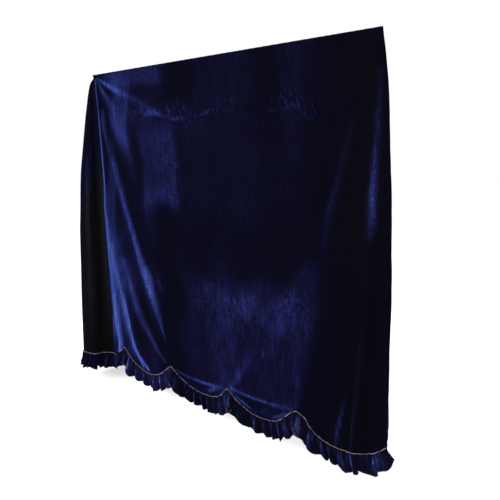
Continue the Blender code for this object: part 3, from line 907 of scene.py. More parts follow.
def fold_relief(fold: tuple[float, ...], x: Array, z: Array) -> Array:
    """How far one fold stands out of the front at each point, from its row of a table.

    Args:
        fold: Its row: x0, z0, x1, z1, bow, height, spread at the start and at the end.
        x: The points' x.
        z: The points' z.

    Returns:
        Heights in metres.
    """
    x0, z0, x1, z1, bow, rise, narrow, wide = fold
    run_x, run_z = x1 - x0, z1 - z0
    length = math.hypot(run_x, run_z)
    along = ((x - x0) * run_x + (z - z0) * run_z) / length**2
    inside = np.clip(along, 0.0, 1.0)
    aside = ((x - x0) * run_z - (z - z0) * run_x) / length + bow * 4 * inside * (1 - inside)
    strength = ease(along / 0.18) * ease((1 - along) / 0.22)
    return rise * strength * np.exp(-((aside / mix(narrow, wide, inside)) ** 2))


def front_shape(share: Array, down: Array, lift: float = 0.0, fine: bool = True) -> Array:
    """Points of the front panel.

    Args:
        share: How far across the panel's columns they lie.
        down: How far down it.
        lift: How far above the hem line the panel's foot stops.
        fine: Whether the fine creases and gathers are added to the main folds.

    Returns:
        The points in metres.
    """
    peaks = np.array(PEAKS)
    hem = np.interp(share, [0.0, *peaks[1:, 2]], [LEFT_HEM_X, *peaks[1:, 0]])
    across = (hem - LEFT_HEM_X) / (peaks[-1, 0] - LEFT_HEM_X)
    left, right = read_table(LEFT_EDGE, down), read_table(RIGHT_EDGE, down)
    x = mix(left, right, across)
    swag, chord, sag, _ = hem_swags(hem)
    bulge = np.hypot(np.sin(math.pi * swag) ** SWAG_ROUNDNESS, PEAK_ROUNDNESS) - PEAK_ROUNDNESS
    hem_z = chord - sag * bulge / (math.hypot(1.0, PEAK_ROUNDNESS) - PEAK_ROUNDNESS)
    hem_z = hem_z + read_table(HEM_TRIM, hem)
    if fine:
        hem_z = hem_z + HEM_WAVE * swaying(hem, 0.037, 2.0, 23.0) * between_ends(share, 0.01, 0.01)
    z = mix(0.0, hem_z + lift, down)
    relief = sum(fold_relief(fold, x, z) for fold in FOLDS)
    crease = read_table(RIGHT_CREASE, down)
    relief = relief + CREASE_RIDGE * ease(down / 0.2) * bell(x - crease, 0.022)
    flute = np.clip((x - crease) / (right - crease), 0.0, 1.0)
    relief -= read_table(RIGHT_CREASE, down, 2) * np.sin(math.pi * flute) ** 2
    relief -= EDGE_TURN * ease(down / 0.1) * flute**6
    swag, chord, _, lean = hem_swags(x)
    relief -= lean * np.maximum(chord - z, 0.0) * np.sin(math.pi * swag) ** 0.5
    if fine:
        above = np.maximum(z - hem_z, 0.0)
        gathers = swaying(hem, 0.019, 2.2, 31.0) * np.exp(-above / 0.022)
        small = sum(fold_relief(fold, x, z) for fold in CREASES)
        small = small + CRUMPLE * ripple(x, z, 11) * ease(down / 0.15)
        small += HEM_GATHER * gathers + TOP_GATHER * swaying(x, 0.034, 1.7, 17.0) * np.exp(-down / 0.018)
        relief = relief + small * between_ends(share, 0.03, 0.03)
    return np.stack((x, FRONT_Y + CLOTH / 2 - relief * ease(down / 0.05), z), -1)


def side_plan(rows: Rows, side: Side, along: Array, spread: Array, reach: Array) -> tuple[Array, Array]:
    """Plan of a side panel at one height.

    Args:
        rows: The panel's plan at its hem.
        side: Which panel it is.
        along: How far back along the panel.
        spread: How far it has gone sideways from its top's plan to its hem's.
        reach: How far it has gone forward or back.

    Returns:
        x and y of its points.
    """
    top = read_table(rows, along, 1)
    top_x = side.value * (HALF_WIDTH + SEAM - TOP_TAPER * top)
    top_y = mix(FRONT_Y + CLOTH / 2, BACK_Y, top)
    x = mix(top_x, read_table(rows, along, 2), spread)
    y = mix(top_y, FRONT_Y + read_table(rows, along, 3), reach)
    return x, y


def side_shape(side: Side, along: Array, down: Array, lift: float = 0.0, fine: bool = True) -> Array:
    """Points of a side panel.

    Args:
        side: Which panel it is.
        along: How far back from the front seam they lie.
        down: How far down the panel.
        lift: How far above the hem line the panel's foot stops.
        fine: Whether the fine folds are added to the main ones.

    Returns:
        The points in metres.
    """
    if side is Side.LEFT:
        flute = 1 - ease((along - 0.5) / 0.5)
        eased = down * (1 - 0.4 * np.exp(-down / 0.12))
        spread = mix(eased, read_table(FLUTE_OPENING, down, 1), flute)
        reach = mix(down, read_table(FLUTE_OPENING, down, 2), flute)
        rows, hem, held = LEFT_SECTION, SIDE_HEM + lift + 0 * along, 0.2
    else:
        first, last = RIGHT_EDGE[0][1], RIGHT_EDGE[-1][1]
        spread = (read_table(RIGHT_EDGE, down) - first) / (last - first)
        reach = down
        rows, hem, held = RIGHT_SECTION, SIDE_HEM + lift + RIGHT_HEM_RISE * (1 - ease(along / 0.5)), 0.3
    x, y = side_plan(rows, side, along, spread, reach)
    first_x, first_y = side_plan(rows, side, np.zeros_like(along), spread, reach)
    seam = front_shape(np.full_like(along, 0.5 + side.value / 2), down, fine=False)
    hold = ease(1 - along / held)
    x = x + (seam[..., 0] + side.value * SEAM - first_x) * hold
    y = y + (seam[..., 1] - first_y) * hold
    if fine:
        inner = between_ends(along, 0.06, 0.03) * ease(down / 0.12)
        swing = SIDE_SWING * ripple(along * 0.7, down * 1.5, 23 + side.value, 6, 30.0)
        x = x + side.value * swing * inner
    return np.stack((x, y, mix(0.0, hem, down)), -1)


# The soft lights: name, place, aim, size, power
LIGHTS = (
    ("key", (-2.4, -3.4, 1.6), (0.0, -0.1, -0.8), 2.4, 190.0),
    ("fill", (2.8, -2.4, 0.6), (0.2, 0.0, -0.9), 2.4, 60.0),
    ("back", (0.6, 3.6, 1.8), (0.0, 0.0, -0.7), 2.6, 110.0),
)


@dataclass
class Studio:
    """Camera, soft lights and pale floor."""

    focal_pixels: float = 430.0
    image_pixels: float = 500.0
    sensor: float = 36.0
    horizon_above: float = 94.5
    turn_degrees: float = 34.95
    place: tuple[float, float, float] = (1.205, -1.5415, -0.3835)
    floor_height: float = -1.66
    floor_half: float = 30.0
    world_light: float = 1.01

    def camera(self) -> None:
        """Puts the camera at the photograph's viewing angle."""
        data = bpy.data.cameras.new("camera")
        data.sensor_width = self.sensor
        data.lens = self.focal_pixels / self.image_pixels * self.sensor
        eye = new_object("camera", data)
        tilt = math.atan(self.horizon_above / self.focal_pixels)
        eye.location = self.place
        eye.rotation_euler = (math.pi / 2 - tilt, 0.0, math.radians(self.turn_degrees))
        bpy.context.scene.camera = eye

    def light(
        self, name: str, place: tuple[float, ...], aim: tuple[float, ...], size: float, power: float
    ) -> None:
        """Adds a soft square light.

        Args:
            name: The light's name.
            place: Where it hangs.
            aim: The point it faces.
            size: Its side.
            power: Its power in watts.
        """
        data = bpy.data.lights.new(name, "AREA")
        data.size = size
        data.energy = power
        lamp = new_object(name, data)
        lamp.location = place
        lamp.rotation_euler = (Vector(aim) - Vector(place)).to_track_quat("-Z", "Y").to_euler()

    def floor(self) -> None:
        """Lays a wide pale floor a little below the ruffles."""
        mesh = bpy.data.meshes.new("floor")
        half = self.floor_half
        corners = [(-half, -half), (half, -half), (half, half), (-half, half)]
        mesh.from_pydata([(x, y, self.floor_height) for x, y in corners], [], [(0, 1, 2, 3)])
        material, tree, shader = new_material("pale_floor")
        tree.feed(shader, {"Base Color": (1.0, 1.0, 1.0, 1.0), "Roughness": 0.9, "Specular IOR Level": 0.1})
        mesh.materials.append(material)
        floor = new_object("floor", mesh)

    def build(self) -> None:
        """Makes the whole studio."""
        world = bpy.data.worlds.new("studio")
        world.use_nodes = True
        background = world.node_tree.nodes["Background"]
        background.inputs[0].default_value = (1.0, 1.0, 1.0, 1.0)
        background.inputs[1].default_value = self.world_light
        bpy.context.scene.world = world
        bpy.context.scene.view_settings.view_transform = "Standard"
        for row in LIGHTS:
            self.light(*row)
        self.floor()
        self.camera()
        LOG.info("studio: camera, three soft lights and the floor")


def polyline_object(name: str, lines: list[Array]) -> Piece:
    """Makes a mesh of joined edges for a node tree to follow.

    Args:
        name: The object's name.
        lines: Each line's points.

    Returns:
        The new object.
    """
    points: list[list[float]] = []
    edges: list[tuple[int, int]] = []
    for line in lines:
        start = len(points)
        points.extend(line.tolist())
        edges.extend((start + i, start + i + 1) for i in range(len(line) - 1))
    mesh = bpy.data.meshes.new(name)
    mesh.from_pydata(points, edges, [])
    return new_object(name, mesh)


@dataclass
class Trim:
    """Trim that follows a line, made by a node tree with its sizes as named inputs."""

    title: str
    sizes: dict[str, float]
    seed: int = 1

    def start(self) -> tuple[Tree, Node, Socket]:
        """Starts the tree with its inputs.

        Returns:
            The tree, its input node and the line as a curve.
        """
        group = bpy.data.node_groups.new(self.title, "GeometryNodeTree")
        face = group.interface
        face.new_socket("Geometry", in_out="INPUT", socket_type="NodeSocketGeometry")
        for name in self.sizes:
            face.new_socket(name, in_out="INPUT", socket_type="NodeSocketFloat")
        face.new_socket("Seed", in_out="INPUT", socket_type="NodeSocketInt")
        face.new_socket("Material", in_out="INPUT", socket_type="NodeSocketMaterial")
        face.new_socket("Geometry", in_out="OUTPUT", socket_type="NodeSocketGeometry")
        tree = Tree(group)
        given = tree.node("NodeGroupInput")
        curve = tree.node("GeometryNodeMeshToCurve", {0: given.outputs["Geometry"]}).outputs[0]
        return tree, given, curve

    def end(self, tree: Tree, given: Node, shape: Socket) -> bpy.types.NodeTree:
        """Ends the tree.

        Args:
            tree: The tree.
            given: Its input node.
            shape: What it made.

        Returns:
            The finished node group.
        """
        real = tree.node("GeometryNodeRealizeInstances", {0: shape}).outputs[0]
        smooth = tree.node("GeometryNodeSetShadeSmooth", {0: real}).outputs[0]
        dressed = {"Geometry": smooth, "Material": given.outputs["Material"]}
        made = tree.node("GeometryNodeSetMaterial", dressed)
        tree.node("NodeGroupOutput", {0: made.outputs[0]})
        return tree.tree

    def tree(self) -> bpy.types.NodeTree:
        """Writes the tree; each kind of trim has its own."""
        raise NotImplementedError

    def build(self, name: str, lines: list[Array], material: Material) -> Piece:
        """Makes the trim along its lines as one plain mesh.

        Args:
            name: The piece's name.
            lines: The lines that it follows.
            material: Its material.

        Returns:
            The new object.
        """
        group = self.tree()
        guide = polyline_object(name + "_guide", lines)
        modifier = guide.modifiers.new("trim", "NODES")
        modifier.node_group = group
        values = {**self.sizes, "Seed": self.seed, "Material": material}
        for item in group.interface.items_tree:
            if item.in_out == "INPUT" and item.name in values:
                modifier[item.identifier] = values[item.name]
        graph = bpy.context.evaluated_depsgraph_get()
        mesh = bpy.data.meshes.new_from_object(guide.evaluated_get(graph))
        mesh.name = name
        bpy.data.objects.remove(guide, do_unlink=True)
        piece = new_object(name, mesh)
        LOG.info("%s: %d faces", name, len(mesh.polygons))
        return piece


@dataclass
class TwistedCord(Trim):
    """A cord of two strands laid round each other."""

    title: str = "twisted_cord"
    sizes: dict[str, float] = field(
        default_factory=lambda: {"Lay Radius": 0.00095, "Strand Radius": 0.0012, "Pitch": 0.0085}
    )

    def tree(self) -> bpy.types.NodeTree:
        """Winds both strands round the line and joins them.

        Returns:
            The node group.
        """
        tree, given, curve = self.start()
        step = tree.math("DIVIDE", given.outputs["Pitch"], 7.0)
        even = tree.node("GeometryNodeResampleCurve", {"Curve": curve, "Length": step}, mode="LENGTH")
        line = even.outputs[0]
        run = tree.node("GeometryNodeSplineParameter").outputs["Length"]
        turn = tree.times(tree.math("DIVIDE", run, given.outputs["Pitch"]), math.tau)
        normal = tree.node("GeometryNodeInputNormal").outputs[0]
        tangent = tree.node("GeometryNodeInputTangent").outputs[0]
        aside = tree.vector("CROSS_PRODUCT", {0: tangent, 1: normal})
        profile = tree.circle(6, given.outputs["Strand Radius"])
        joined = tree.node("GeometryNodeJoinGeometry")
        for start in (0.0, math.pi):
            angle = tree.plus(turn, start)
            first = tree.vector("SCALE", {0: normal, "Scale": tree.math("COSINE", angle)})
            second = tree.vector("SCALE", {0: aside, "Scale": tree.math("SINE", angle)})
            away = tree.vector("ADD", {0: first, 1: second})
            offset = tree.vector("SCALE", {0: away, "Scale": given.outputs["Lay Radius"]})
            strand = tree.node("GeometryNodeSetPosition", {"Geometry": line, "Offset": offset}).outputs[0]
            sweep = {"Curve": strand, "Profile Curve": profile, "Fill Caps": True}
            tube = tree.node("GeometryNodeCurveToMesh", sweep)
            tree.tree.links.new(tube.outputs[0], joined.inputs[0])
        return self.end(tree, given, joined.outputs[0])


@dataclass
class Overlock(Trim):
    """Loops of thread over a raw edge, each a little askew."""

    title: str = "overlock"
    sizes: dict[str, float] = field(
        default_factory=lambda: {"Spacing": 0.0028, "Loop Radius": 0.00125, "Thread Radius": 0.0005}
    )

    def tree(self) -> bpy.types.NodeTree:
        """Sets a loop square to the line at each step of it.

        Returns:
            The node group.
        """
        tree, given, curve = self.start()
        points = tree.spaced(curve, given.outputs["Spacing"])
        ring = tree.circle(8, given.outputs["Loop Radius"])
        profile = tree.circle(4, given.outputs["Thread Radius"])
        loop = tree.node("GeometryNodeCurveToMesh", {"Curve": ring, "Profile Curve": profile})
        spans = {0: (-0.35, -0.35, 0.0), 1: (0.35, 0.35, 0.4), "Seed": given.outputs["Seed"]}
        askew = tree.node("FunctionNodeRandomValue", spans, data_type="FLOAT_VECTOR")
        lean = tree.node("FunctionNodeEulerToRotation", {0: askew.outputs[0]}).outputs[0]
        turning = {0: points["Rotation"], 1: lean}
        turned = tree.node("FunctionNodeRotateRotation", turning, rotation_space="LOCAL")
        placing = {"Points": points[0], "Instance": loop.outputs[0], "Rotation": turned.outputs[0]}
        placed = tree.node("GeometryNodeInstanceOnPoints", placing)
        return self.end(tree, given, placed.outputs[0])


@dataclass
class Stitches(Trim):
    """A row of short sewn stitches, end to end."""

    title: str = "stitches"
    sizes: dict[str, float] = field(
        default_factory=lambda: {"Spacing": 0.0046, "Stitch Length": 0.0034, "Thread Radius": 0.0005}
    )

    def tree(self) -> bpy.types.NodeTree:
        """Lays a slim rounded stitch along the line at each step of it.

        Returns:
            The node group.
        """
        tree, given, curve = self.start()
        points = tree.spaced(curve, given.outputs["Spacing"])
        ball = tree.node("GeometryNodeMeshUVSphere", {"Segments": 6, "Rings": 4, "Radius": 1.0})
        half = tree.times(given.outputs["Stitch Length"], 0.5)
        spans = {2: 0.85, 3: 1.1, "Seed": given.outputs["Seed"]}
        uneven = tree.node("FunctionNodeRandomValue", spans, data_type="FLOAT")
        long = tree.times(half, uneven.outputs[1])
        thick = given.outputs["Thread Radius"]
        size = tree.node("ShaderNodeCombineXYZ", {0: thick, 1: thick, 2: long}).outputs[0]
        placing = {"Points": points[0], "Instance": ball.outputs[0], "Rotation": points["Rotation"]}
        placed = tree.node("GeometryNodeInstanceOnPoints", {**placing, "Scale": size})
        return self.end(tree, given, placed.outputs[0])


def finish_piece(piece: Piece, nodes: tuple[str, ...] = ()) -> Piece:
    """Fixes a piece to the frame.

    Args:
        piece: The piece.
        nodes: The nodes of the frame that it stands for.

    Returns:
        The same piece.
    """
    if nodes:
        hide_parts(*nodes)
    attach(piece, BODY)
    return piece


def crowded(count: int, dense: tuple[tuple[float, float, float], ...]) -> Array:
    """Shares from 0 to 1 that lie closer together in some stretches.

    Args:
        count: How many steps there are.
        dense: Stretches with from, to and how many times closer.

    Returns:
        count + 1 shares.
    """
    fine = np.linspace(0, 1, 4001)
    weight = np.ones_like(fine)
    for start, stop, times in dense:
        weight += (times - 1) * ease((fine - start) / 0.02 + 0.5) * ease((stop - fine) / 0.02 + 0.5)
    total = np.concatenate(([0.0], np.cumsum((weight[1:] + weight[:-1]) / 2)))
    return np.interp(np.linspace(0, total[-1], count + 1), total, fine)


@dataclass
class FrontPanel:
    """The broad front, with its folds, its crushed pile, and painted highlights and shade."""

    columns: int = 224
    rows: int = 214
    flat: tuple[float, float] = (1.54, 1.515)
    cut_area: float = 2.19
    seam_overlap: float = 0.0006

    def cloth(self) -> Cloth:
        """The panel's grid, closer where the creases crowd.

        Returns:
            The cloth.
        """
        share = crowded(self.columns, ((0.0, 0.34, 2.6), (0.90, 0.96, 1.8)))
        down = np.linspace(0, 1, self.rows + 1)
        across, fall = np.meshgrid(share, down)
        return Cloth(front_shape(across, fall, self.seam_overlap), self.flat, FORWARD)

    def pile_and_light(self, cloth: Cloth) -> dict[str, Array]:
        """How the pile is toned: painted highlights along the folds and painted sheen in patches, painted
        shade in the creases, at the right flute and at the right corner, and crush marks.

        Args:
            cloth: The grid of the cloth.

        Returns:
            The attributes that the velvet reads.
        """
        x, z = cloth.points[..., 0], cloth.points[..., 2]
        wander_x = x + PATCH_WANDER * ripple(z, x, 71, 5, 9.0)
        wander_z = z + PATCH_WANDER * ripple(x, z, 72, 5, 9.0)
        level = mix(NAP_LEVEL, NAP_LEVEL_RIGHT, ease((x - 0.40) / 0.24))
        level = level * (1 + 0.45 * ripple(x, z, 5, 6, 10.0))
        for patch in DARKENED:
            level = level * (1 - patch_field(patch, wander_x, wander_z))
        # Lighter patches of painted sheen
        for patch in SHEEN_PATCHES:
            level = level + (1 - level) * patch_field(patch, wander_x, wander_z)
        # Painted shade in the right corner's flute
        level = level * (1 - patch_field(SHADED_FLUTE, x, z))
        level = np.maximum(level, 0.0) ** PATCH_CONTRAST
        # Painted shade: dark lines in the creases and under the rolled line, where the pile also lies flat
        for stroke in PRESSED_AND_SHADED:
            level = level * (1 - stroke_field(stroke, x, z))
        # Painted highlights: streaks of sheen along the folds
        for stroke in BRUSHED_AND_SHEEN:
            level = level + (1 - level) * stroke_field(stroke, x, z)
        crush_and_sheen = sum(patch_field(patch, wander_x, wander_z) for patch in CRUSHED)
        # Painted shade: the dark right corner turns dull and colourless
        shade_grey = 0.45 * ease((x - 0.56) / 0.10) * (1 - ease(level / 0.3))
        return {"pile_and_light": level, "crush_and_sheen": crush_and_sheen, "shade_grey": shade_grey}

    def build(self, finishes: Finishes) -> Piece:
        """Makes the panel and fixes it to the frame.

        Args:
            finishes: The shared materials.

        Returns:
            The piece.
        """
        cloth = self.cloth()
        piece = cloth.build("front_panel_cloth", [finishes.velvet, finishes.backing], self.pile_and_light(cloth), CLOTH)
        finish_piece(piece, ("front_panel",))
        LOG.info("front panel: %d by %d quads", self.columns, self.rows)
        return piece


@dataclass
class SidePanel:
    """A side panel with the flute that stands out at its front corner."""

    side: Side
    columns: int
    rows: int
    flat: tuple[float, float]
    cut_area: float
    seam_overlap: float = 0.0006

    @property
    def title(self) -> str:
        """The panel's name without its kind."""
        return self.side.name.lower()

    def cloth(self) -> Cloth:
        """The panel's grid.

        Returns:
            The cloth.
        """
        along, down = grid(self.columns, self.rows)
        outward = LEFTWARD if self.side is Side.LEFT else RIGHTWARD
        return Cloth(side_shape(self.side, along, down, self.seam_overlap), self.flat, outward)

    def pile_and_light(self, cloth: Cloth) -> dict[str, Array]:
        """How the pile is toned: painted shade where the left flute turns from the light and by the right
        panel's front corner, painted highlights on the flute's folds, and painted sheen in streaks towards
        the back.

        Args:
            cloth: The grid of the cloth.

        Returns:
            The attributes that the velvet reads.
        """
        rows, columns = cloth.points.shape[:2]
        along, down = grid(columns - 1, rows - 1)
        level = 0.03 + 0.05 * ripple(along * 0.7, down * 1.5, 31, 6, 12.0)
        level = np.clip(level + 0.05 * ease((along - 0.55) / 0.2), 0.02, 1.0)
        if self.side is Side.RIGHT:
            # Painted sheen in lighter streaks on the right panel, and painted shade by its front corner
            folds = ease((ripple(along * 0.3, down * 1.5, 37, 5, 22.0) - 0.1) / 0.9)
            level = level + BACK_FOLDS * folds * ease(along / 0.15)
            return {"pile_and_light": level, "shade_grey": 0.2 * ease((0.2 - along) / 0.2)}
        lit = ease((down - 0.20) / 0.12) * (1 - ease((down - 0.72) / 0.3))
        for middle, width, strength in FLUTE_LIGHTS:
            level = level + strength * lit * bell(along - middle, width)
        # Painted shade dulls the flute where it turns from the light; lighter streaks of painted sheen run
        # towards the back
        turned = ease((0.55 - along) / 0.1) * ease((down - 0.20 - along * 0.45) / 0.10)
        folds = ease((ripple(along * 0.7, down * 1.5, 33, 5, 22.0) - 0.1) / 0.9)
        level = level + BACK_FOLDS * ease((along - 0.6) / 0.15) * folds
        return {"pile_and_light": level, "shade_grey": 0.15 + 0.8 * turned}

    def build(self, finishes: Finishes) -> tuple[Piece, list[Array]]:
        """Makes the panel and fixes it to the frame.

        Args:
            finishes: The shared materials.

        Returns:
            The piece, and the lines that its back hem is stitched along.
        """
        cloth = self.cloth()
        name = f"side_panel_{self.title}_cloth"
        piece = cloth.build(name, [finishes.velvet, finishes.backing], self.pile_and_light(cloth), CLOTH)
        finish_piece(piece, (f"side_panel_{self.title}",))
        LOG.info("%s: %d by %d quads", name, self.columns, self.rows)
        inset = self.columns - max(round(self.columns * 0.018 / self.flat[0]), 1)
        return piece, [cloth.line((slice(1, -1), inset), CLOTH / 2)]


@dataclass
class TopPanel:
    """The top, which runs back over the lid and falls a little way behind it."""

    columns: int = 130
    rows: int = 60
    flat: tuple[float, float] = (1.446, 0.42)
    cut_area: float = 0.565
    bend_at: float = 5 / 7
    bend_radius: float = 0.006

    def cloth(self) -> Cloth:
        """The panel's grid: soft rucks on the lid, and a rounded fall at its back edge.

        Returns:
            The cloth.
        """
        share, back = grid(self.columns, self.rows)
        length = TOP_DEPTH + GAP + CLOTH / 2
        run = np.clip(back / self.bend_at, 0, 1)
        fall = np.clip((back - self.bend_at) / (1 - self.bend_at), 0, 1)
        half = mix(TOP_HALF, TOP_HALF - TOP_TAPER, run)
        ruck = 0.003 * np.sin(math.pi * run) * np.sin(3 * math.pi * share) ** 2
        x = mix(-half, half, share)
        inner = np.sin(math.pi * run) * np.sin(math.pi * share) ** 0.5
        ruck = ruck + 0.0010 * np.abs(ripple(run * 0.28, x, 41, 6, 26.0)) * inner
        ruck += 0.0007 * np.abs(swaying(x, 0.034, 1.7, 17.0)) * np.exp(-run / 0.05)
        sway = 0.004 * ripple(x, fall * 0.14, 43, 5, 14.0) * fall
        y = FRONT_Y + length * run + np.maximum(sway, -0.001)
        z = CLOTH / 2 + ruck * (1 - fall) - BACK_DROP * fall
        near = bell(np.where(fall > 0, BACK_DROP * fall, length * (1 - run)), self.bend_radius)
        y = y - 0.0012 * near
        z = z - 0.0006 * near * (fall > 0)
        return Cloth(np.stack((x, y, z), -1), self.flat, UPWARD)

    def build(self, finishes: Finishes) -> tuple[Piece, list[Array]]:
        """Makes the top and fixes it to the frame.

        Args:
            finishes: The shared materials.

        Returns:
            The piece, and the lines that it is stitched along.
        """
        cloth = self.cloth()
        rows, columns = cloth.points.shape[:2]
        share, back = grid(columns - 1, rows - 1)
        level = 0.16 + 0.10 * ripple(share * 1.44, back * 0.42, 47, 6, 9.0)
        # Painted highlights along the rounded back edge and the front edge
        level = level + 0.20 * bell(back - self.bend_at, 0.03) + 0.14 * np.exp(-back / 0.02)
        fields = {"pile_and_light": np.clip(level, 0.02, 1)}
        piece = cloth.build("top_panel_cloth", [finishes.velvet, finishes.backing], fields, CLOTH)
        finish_piece(piece, ("top_panel",))
        LOG.info("top panel: %d by %d quads", self.columns, self.rows)
        inset = round(rows * 0.012 / self.flat[1])
        stitched = [cloth.line((rows - 1 - inset, slice(1, -1)), CLOTH / 2)]
        return piece, [*stitched, cloth.line((inset, slice(1, -1)), CLOTH / 2)]


@dataclass
class HemLine:
    """The line of the hem, which the cord and the ruffles follow."""

    shape: Callable[[Array], Array]
    samples: int = 1600
    points: Array = field(init=False)

    def __post_init__(self) -> None:
        """Samples the line once."""
        self.points = self.shape(np.linspace(0, 1, self.samples + 1))

    def at(self, share: Array) -> Array:
        """The line's points at shares of its columns."""
        spots = np.linspace(0, 1, self.samples + 1)
        return np.stack([np.interp(share, spots, self.points[:, axis]) for axis in range(3)], -1)


@dataclass
class Ruffle:
    """A gathered strip below the cord, with its overlocked foot.

    crossing says whether its start and its end pass the next strip below a peak, the end in front. turns
    gives the direction that its foot stands out to at its start and at its end. pale is its tone at rest,
    and the field before it the strength of the painted highlight on the folds that face the light.
    """

    name: str
    line: HemLine
    ends: tuple[float, float]
    crossing: tuple[bool, bool]
    turns: tuple[Array, Array]
    seed: int
    brushed: float = 0.85
    pale: float = 0.07
    drawn: float = 0.96
    spread: float = 0.0
    lifted: float = 0.0
    tied: float = 0.0
    overlap: float = 0.005
    first_lobe: float = 0.030
    pitch: float = 0.062
    columns_a_wave: int = 32
    rows: int = 20
    wave_top: float = 0.0018
    wave_foot: float = 0.0095
    flare: float = -0.001
    slant: tuple[float, float] = (0.010, 0.024)
    tuck: tuple[float, float] = (-0.10, 0.26)
    fold_over: float = 0.06
    upright: float = 0.22
    notch: float = 0.002
    crossing_reach: float = 0.09
    uneven_width: float = 0.46
    uneven_depth: float = 0.55
    gather_depth: float = 0.0018
    push: float = 0.006
    # where its start and its end pass the next strip: how far each stands out and leans over
    passing_out: tuple[float, float] = (-0.003, 0.009)
    passing_over: tuple[float, float] = (-0.012, 0.018)
    passing_down: float = 0.010
    flap_reach: float = 0.12
    curl_width: float = 0.020
    curl_turn: float = 2.6

    def waves(self, length: float) -> int:
        """How many waves the strip has on a hem of this length."""
        return max(round(length / self.pitch), 1)

    def cloth(self) -> Cloth:
        """The strip's grid: small gathers at the cord, deep folds that lean over at the foot.

        Returns:
            The cloth.
        """
        start, end = self.ends
        path = self.line.at(np.linspace(start, end, 400))
        length = float(np.linalg.norm(np.diff(path, axis=0), axis=1).sum())
        count = self.waves(length)
        columns = count * self.columns_a_wave
        across, down = grid(columns, self.rows)
        share = mix(start, end, across)
        step = (end - start) / 40
        run = self.line.at(np.minimum(share + step, end)) - self.line.at(np.maximum(share - step, start))
        flat = unit(run * (1.0, 1.0, 0.0))
        outward = np.stack((flat[..., 1], -flat[..., 0], np.zeros_like(across)), -1)
        hint = mix(self.turns[0], self.turns[1], across[..., None])
        outward = np.where((outward * hint).sum(-1, keepdims=True) < 0, -outward, outward)
        near_start = 1 - ease(across * length / self.crossing_reach)
        near_end = 1 - ease((1 - across) * length / self.crossing_reach)
        free_start, free_end = not self.crossing[0], not self.crossing[1]
        outward = mix(outward, self.turns[0], (near_start * down * free_start)[..., None])
        outward = unit(mix(outward, self.turns[1], (near_end * down * free_end)[..., None]))
        steep = run[..., 2] / np.hypot(run[..., 0], run[..., 1])
        normal = unit(flat * steep[..., None] - UPWARD)
        lean = 0.10 * (1 - near_start * free_start) * (1 - near_end * free_end)
        hang = unit(normal * lean[..., None] - UPWARD * (1 - lean)[..., None])
        at_start, at_end = near_start, near_end
        near_start = near_start * self.crossing[0]
        near_end = near_end * self.crossing[1]

        chance = np.random.default_rng(self.seed)
        widths = 1 + self.uneven_width * chance.uniform(-1, 1, count)
        knots = np.concatenate(([0.0], np.cumsum(widths) / widths.sum()))
        turn = math.tau * np.interp(across, knots, np.arange(count + 1))
        places = np.linspace(0, 1, 2 * count + 2)
        depth = smooth_interp(across, places, 1 + self.uneven_depth * chance.uniform(-1, 1, len(places)))
        skew = smooth_interp(across, places, chance.uniform(-1.0, 0.5, len(places)))
        slant = smooth_interp(across, places, chance.uniform(*self.slant, len(places)))
        tuck = smooth_interp(across, places, chance.uniform(*self.tuck, len(places)))
        uneven = smooth_interp(across, places, chance.uniform(-1, 1, len(places)))
        sharp = smooth_interp(across, places, chance.uniform(-1.0, 0.0, len(places)))
        push = smooth_interp(across, np.linspace(0, 1, count + 1), chance.uniform(-1, 1, count + 1))
        held = 1 - np.maximum(0.3 * at_start, 0.6 * at_end)
        wave = mix(self.wave_top, self.wave_foot * depth * held, down**0.8)
        turn_down = turn + skew * down**1.3
        dip = np.sqrt(np.sin(turn_down / 2) ** 2 + 0.01)
        lobe = np.sin(turn_down / 2) ** 2
        lobe = mix(lobe, dip, np.abs(sharp))
        stand = wave * (2 * lobe - 1)
        gather = np.sin(2 * turn + self.seed) + 0.6 * np.sin(3 * turn + 2.0 * self.seed)
        stand = stand + self.gather_depth * gather * np.sin(math.pi * np.clip(down / 0.50, 0, 1)) ** 0.8
        stand = (stand + (self.flare + self.push * push) * down**2) * (1 - self.tied * at_start)
        first = bell(across * length - 0.065, 0.055) * self.crossing[0]
        stand = stand + self.first_lobe * first * down**1.3
        stand = stand + (self.passing_out[0] * near_start + self.passing_out[1] * near_end) * down
        width = length / count
        leaning = tuck * lobe - self.fold_over * np.sin(turn_down)
        fold = width * down**1.2 * held * leaning + slant * down**1.3 * ease(across * length / self.upright)
        flap = 1 - ease((1 - across) * length / self.flap_reach)
        fold = fold + self.spread * down**1.5 * flap
        fold = fold + (self.passing_over[0] * near_start + self.passing_over[1] * near_end) * down
        fold = fold - self.overlap * (at_start - near_start)
        curl = ease((across * length - (length - self.curl_width)) / self.curl_width)
        curl = 0.8 * curl * ease((down - 0.5) / 0.5) * self.crossing[1]
        stand = stand + 0.009 * np.sin(curl * self.curl_turn)
        fold = fold - 0.012 * curl**1.5
        drop = RUFFLE_WIDTH * self.drawn * down - self.notch * (1 - lobe) * down**2 * held
        drop = drop + (0.003 * uneven + self.passing_down * near_end) * down**2 - 0.010 * curl**2
        drop = drop - self.lifted * flap * down
        points = self.line.at(share) - UPWARD * 0.0006 + hang * drop[..., None]
        points = points + outward * stand[..., None] + flat * fold[..., None]
        cut_length = float(np.linalg.norm(np.diff(points, axis=1), axis=2).sum(axis=1).mean())
        return Cloth(points, (round(cut_length, 3), RUFFLE_WIDTH), self.turns[0])

    def pile_and_light(self, cloth: Cloth) -> dict[str, Array]:
        """How the pile is toned: a painted highlight on each fold's flank that faces the light, some more
        than others, with crush marks in it.

        Args:
            cloth: The grid of the cloth.

        Returns:
            The attributes that the velvet reads.
        """
        chance = np.random.default_rng(self.seed + 100)
        rows, columns = cloth.points.shape[:2]
        across, down = grid(columns - 1, rows - 1)
        spots = max(columns // self.columns_a_wave, 2)
        bright = smooth_interp(across, np.linspace(0, 1, spots), chance.uniform(0.15, 1.25, spots))
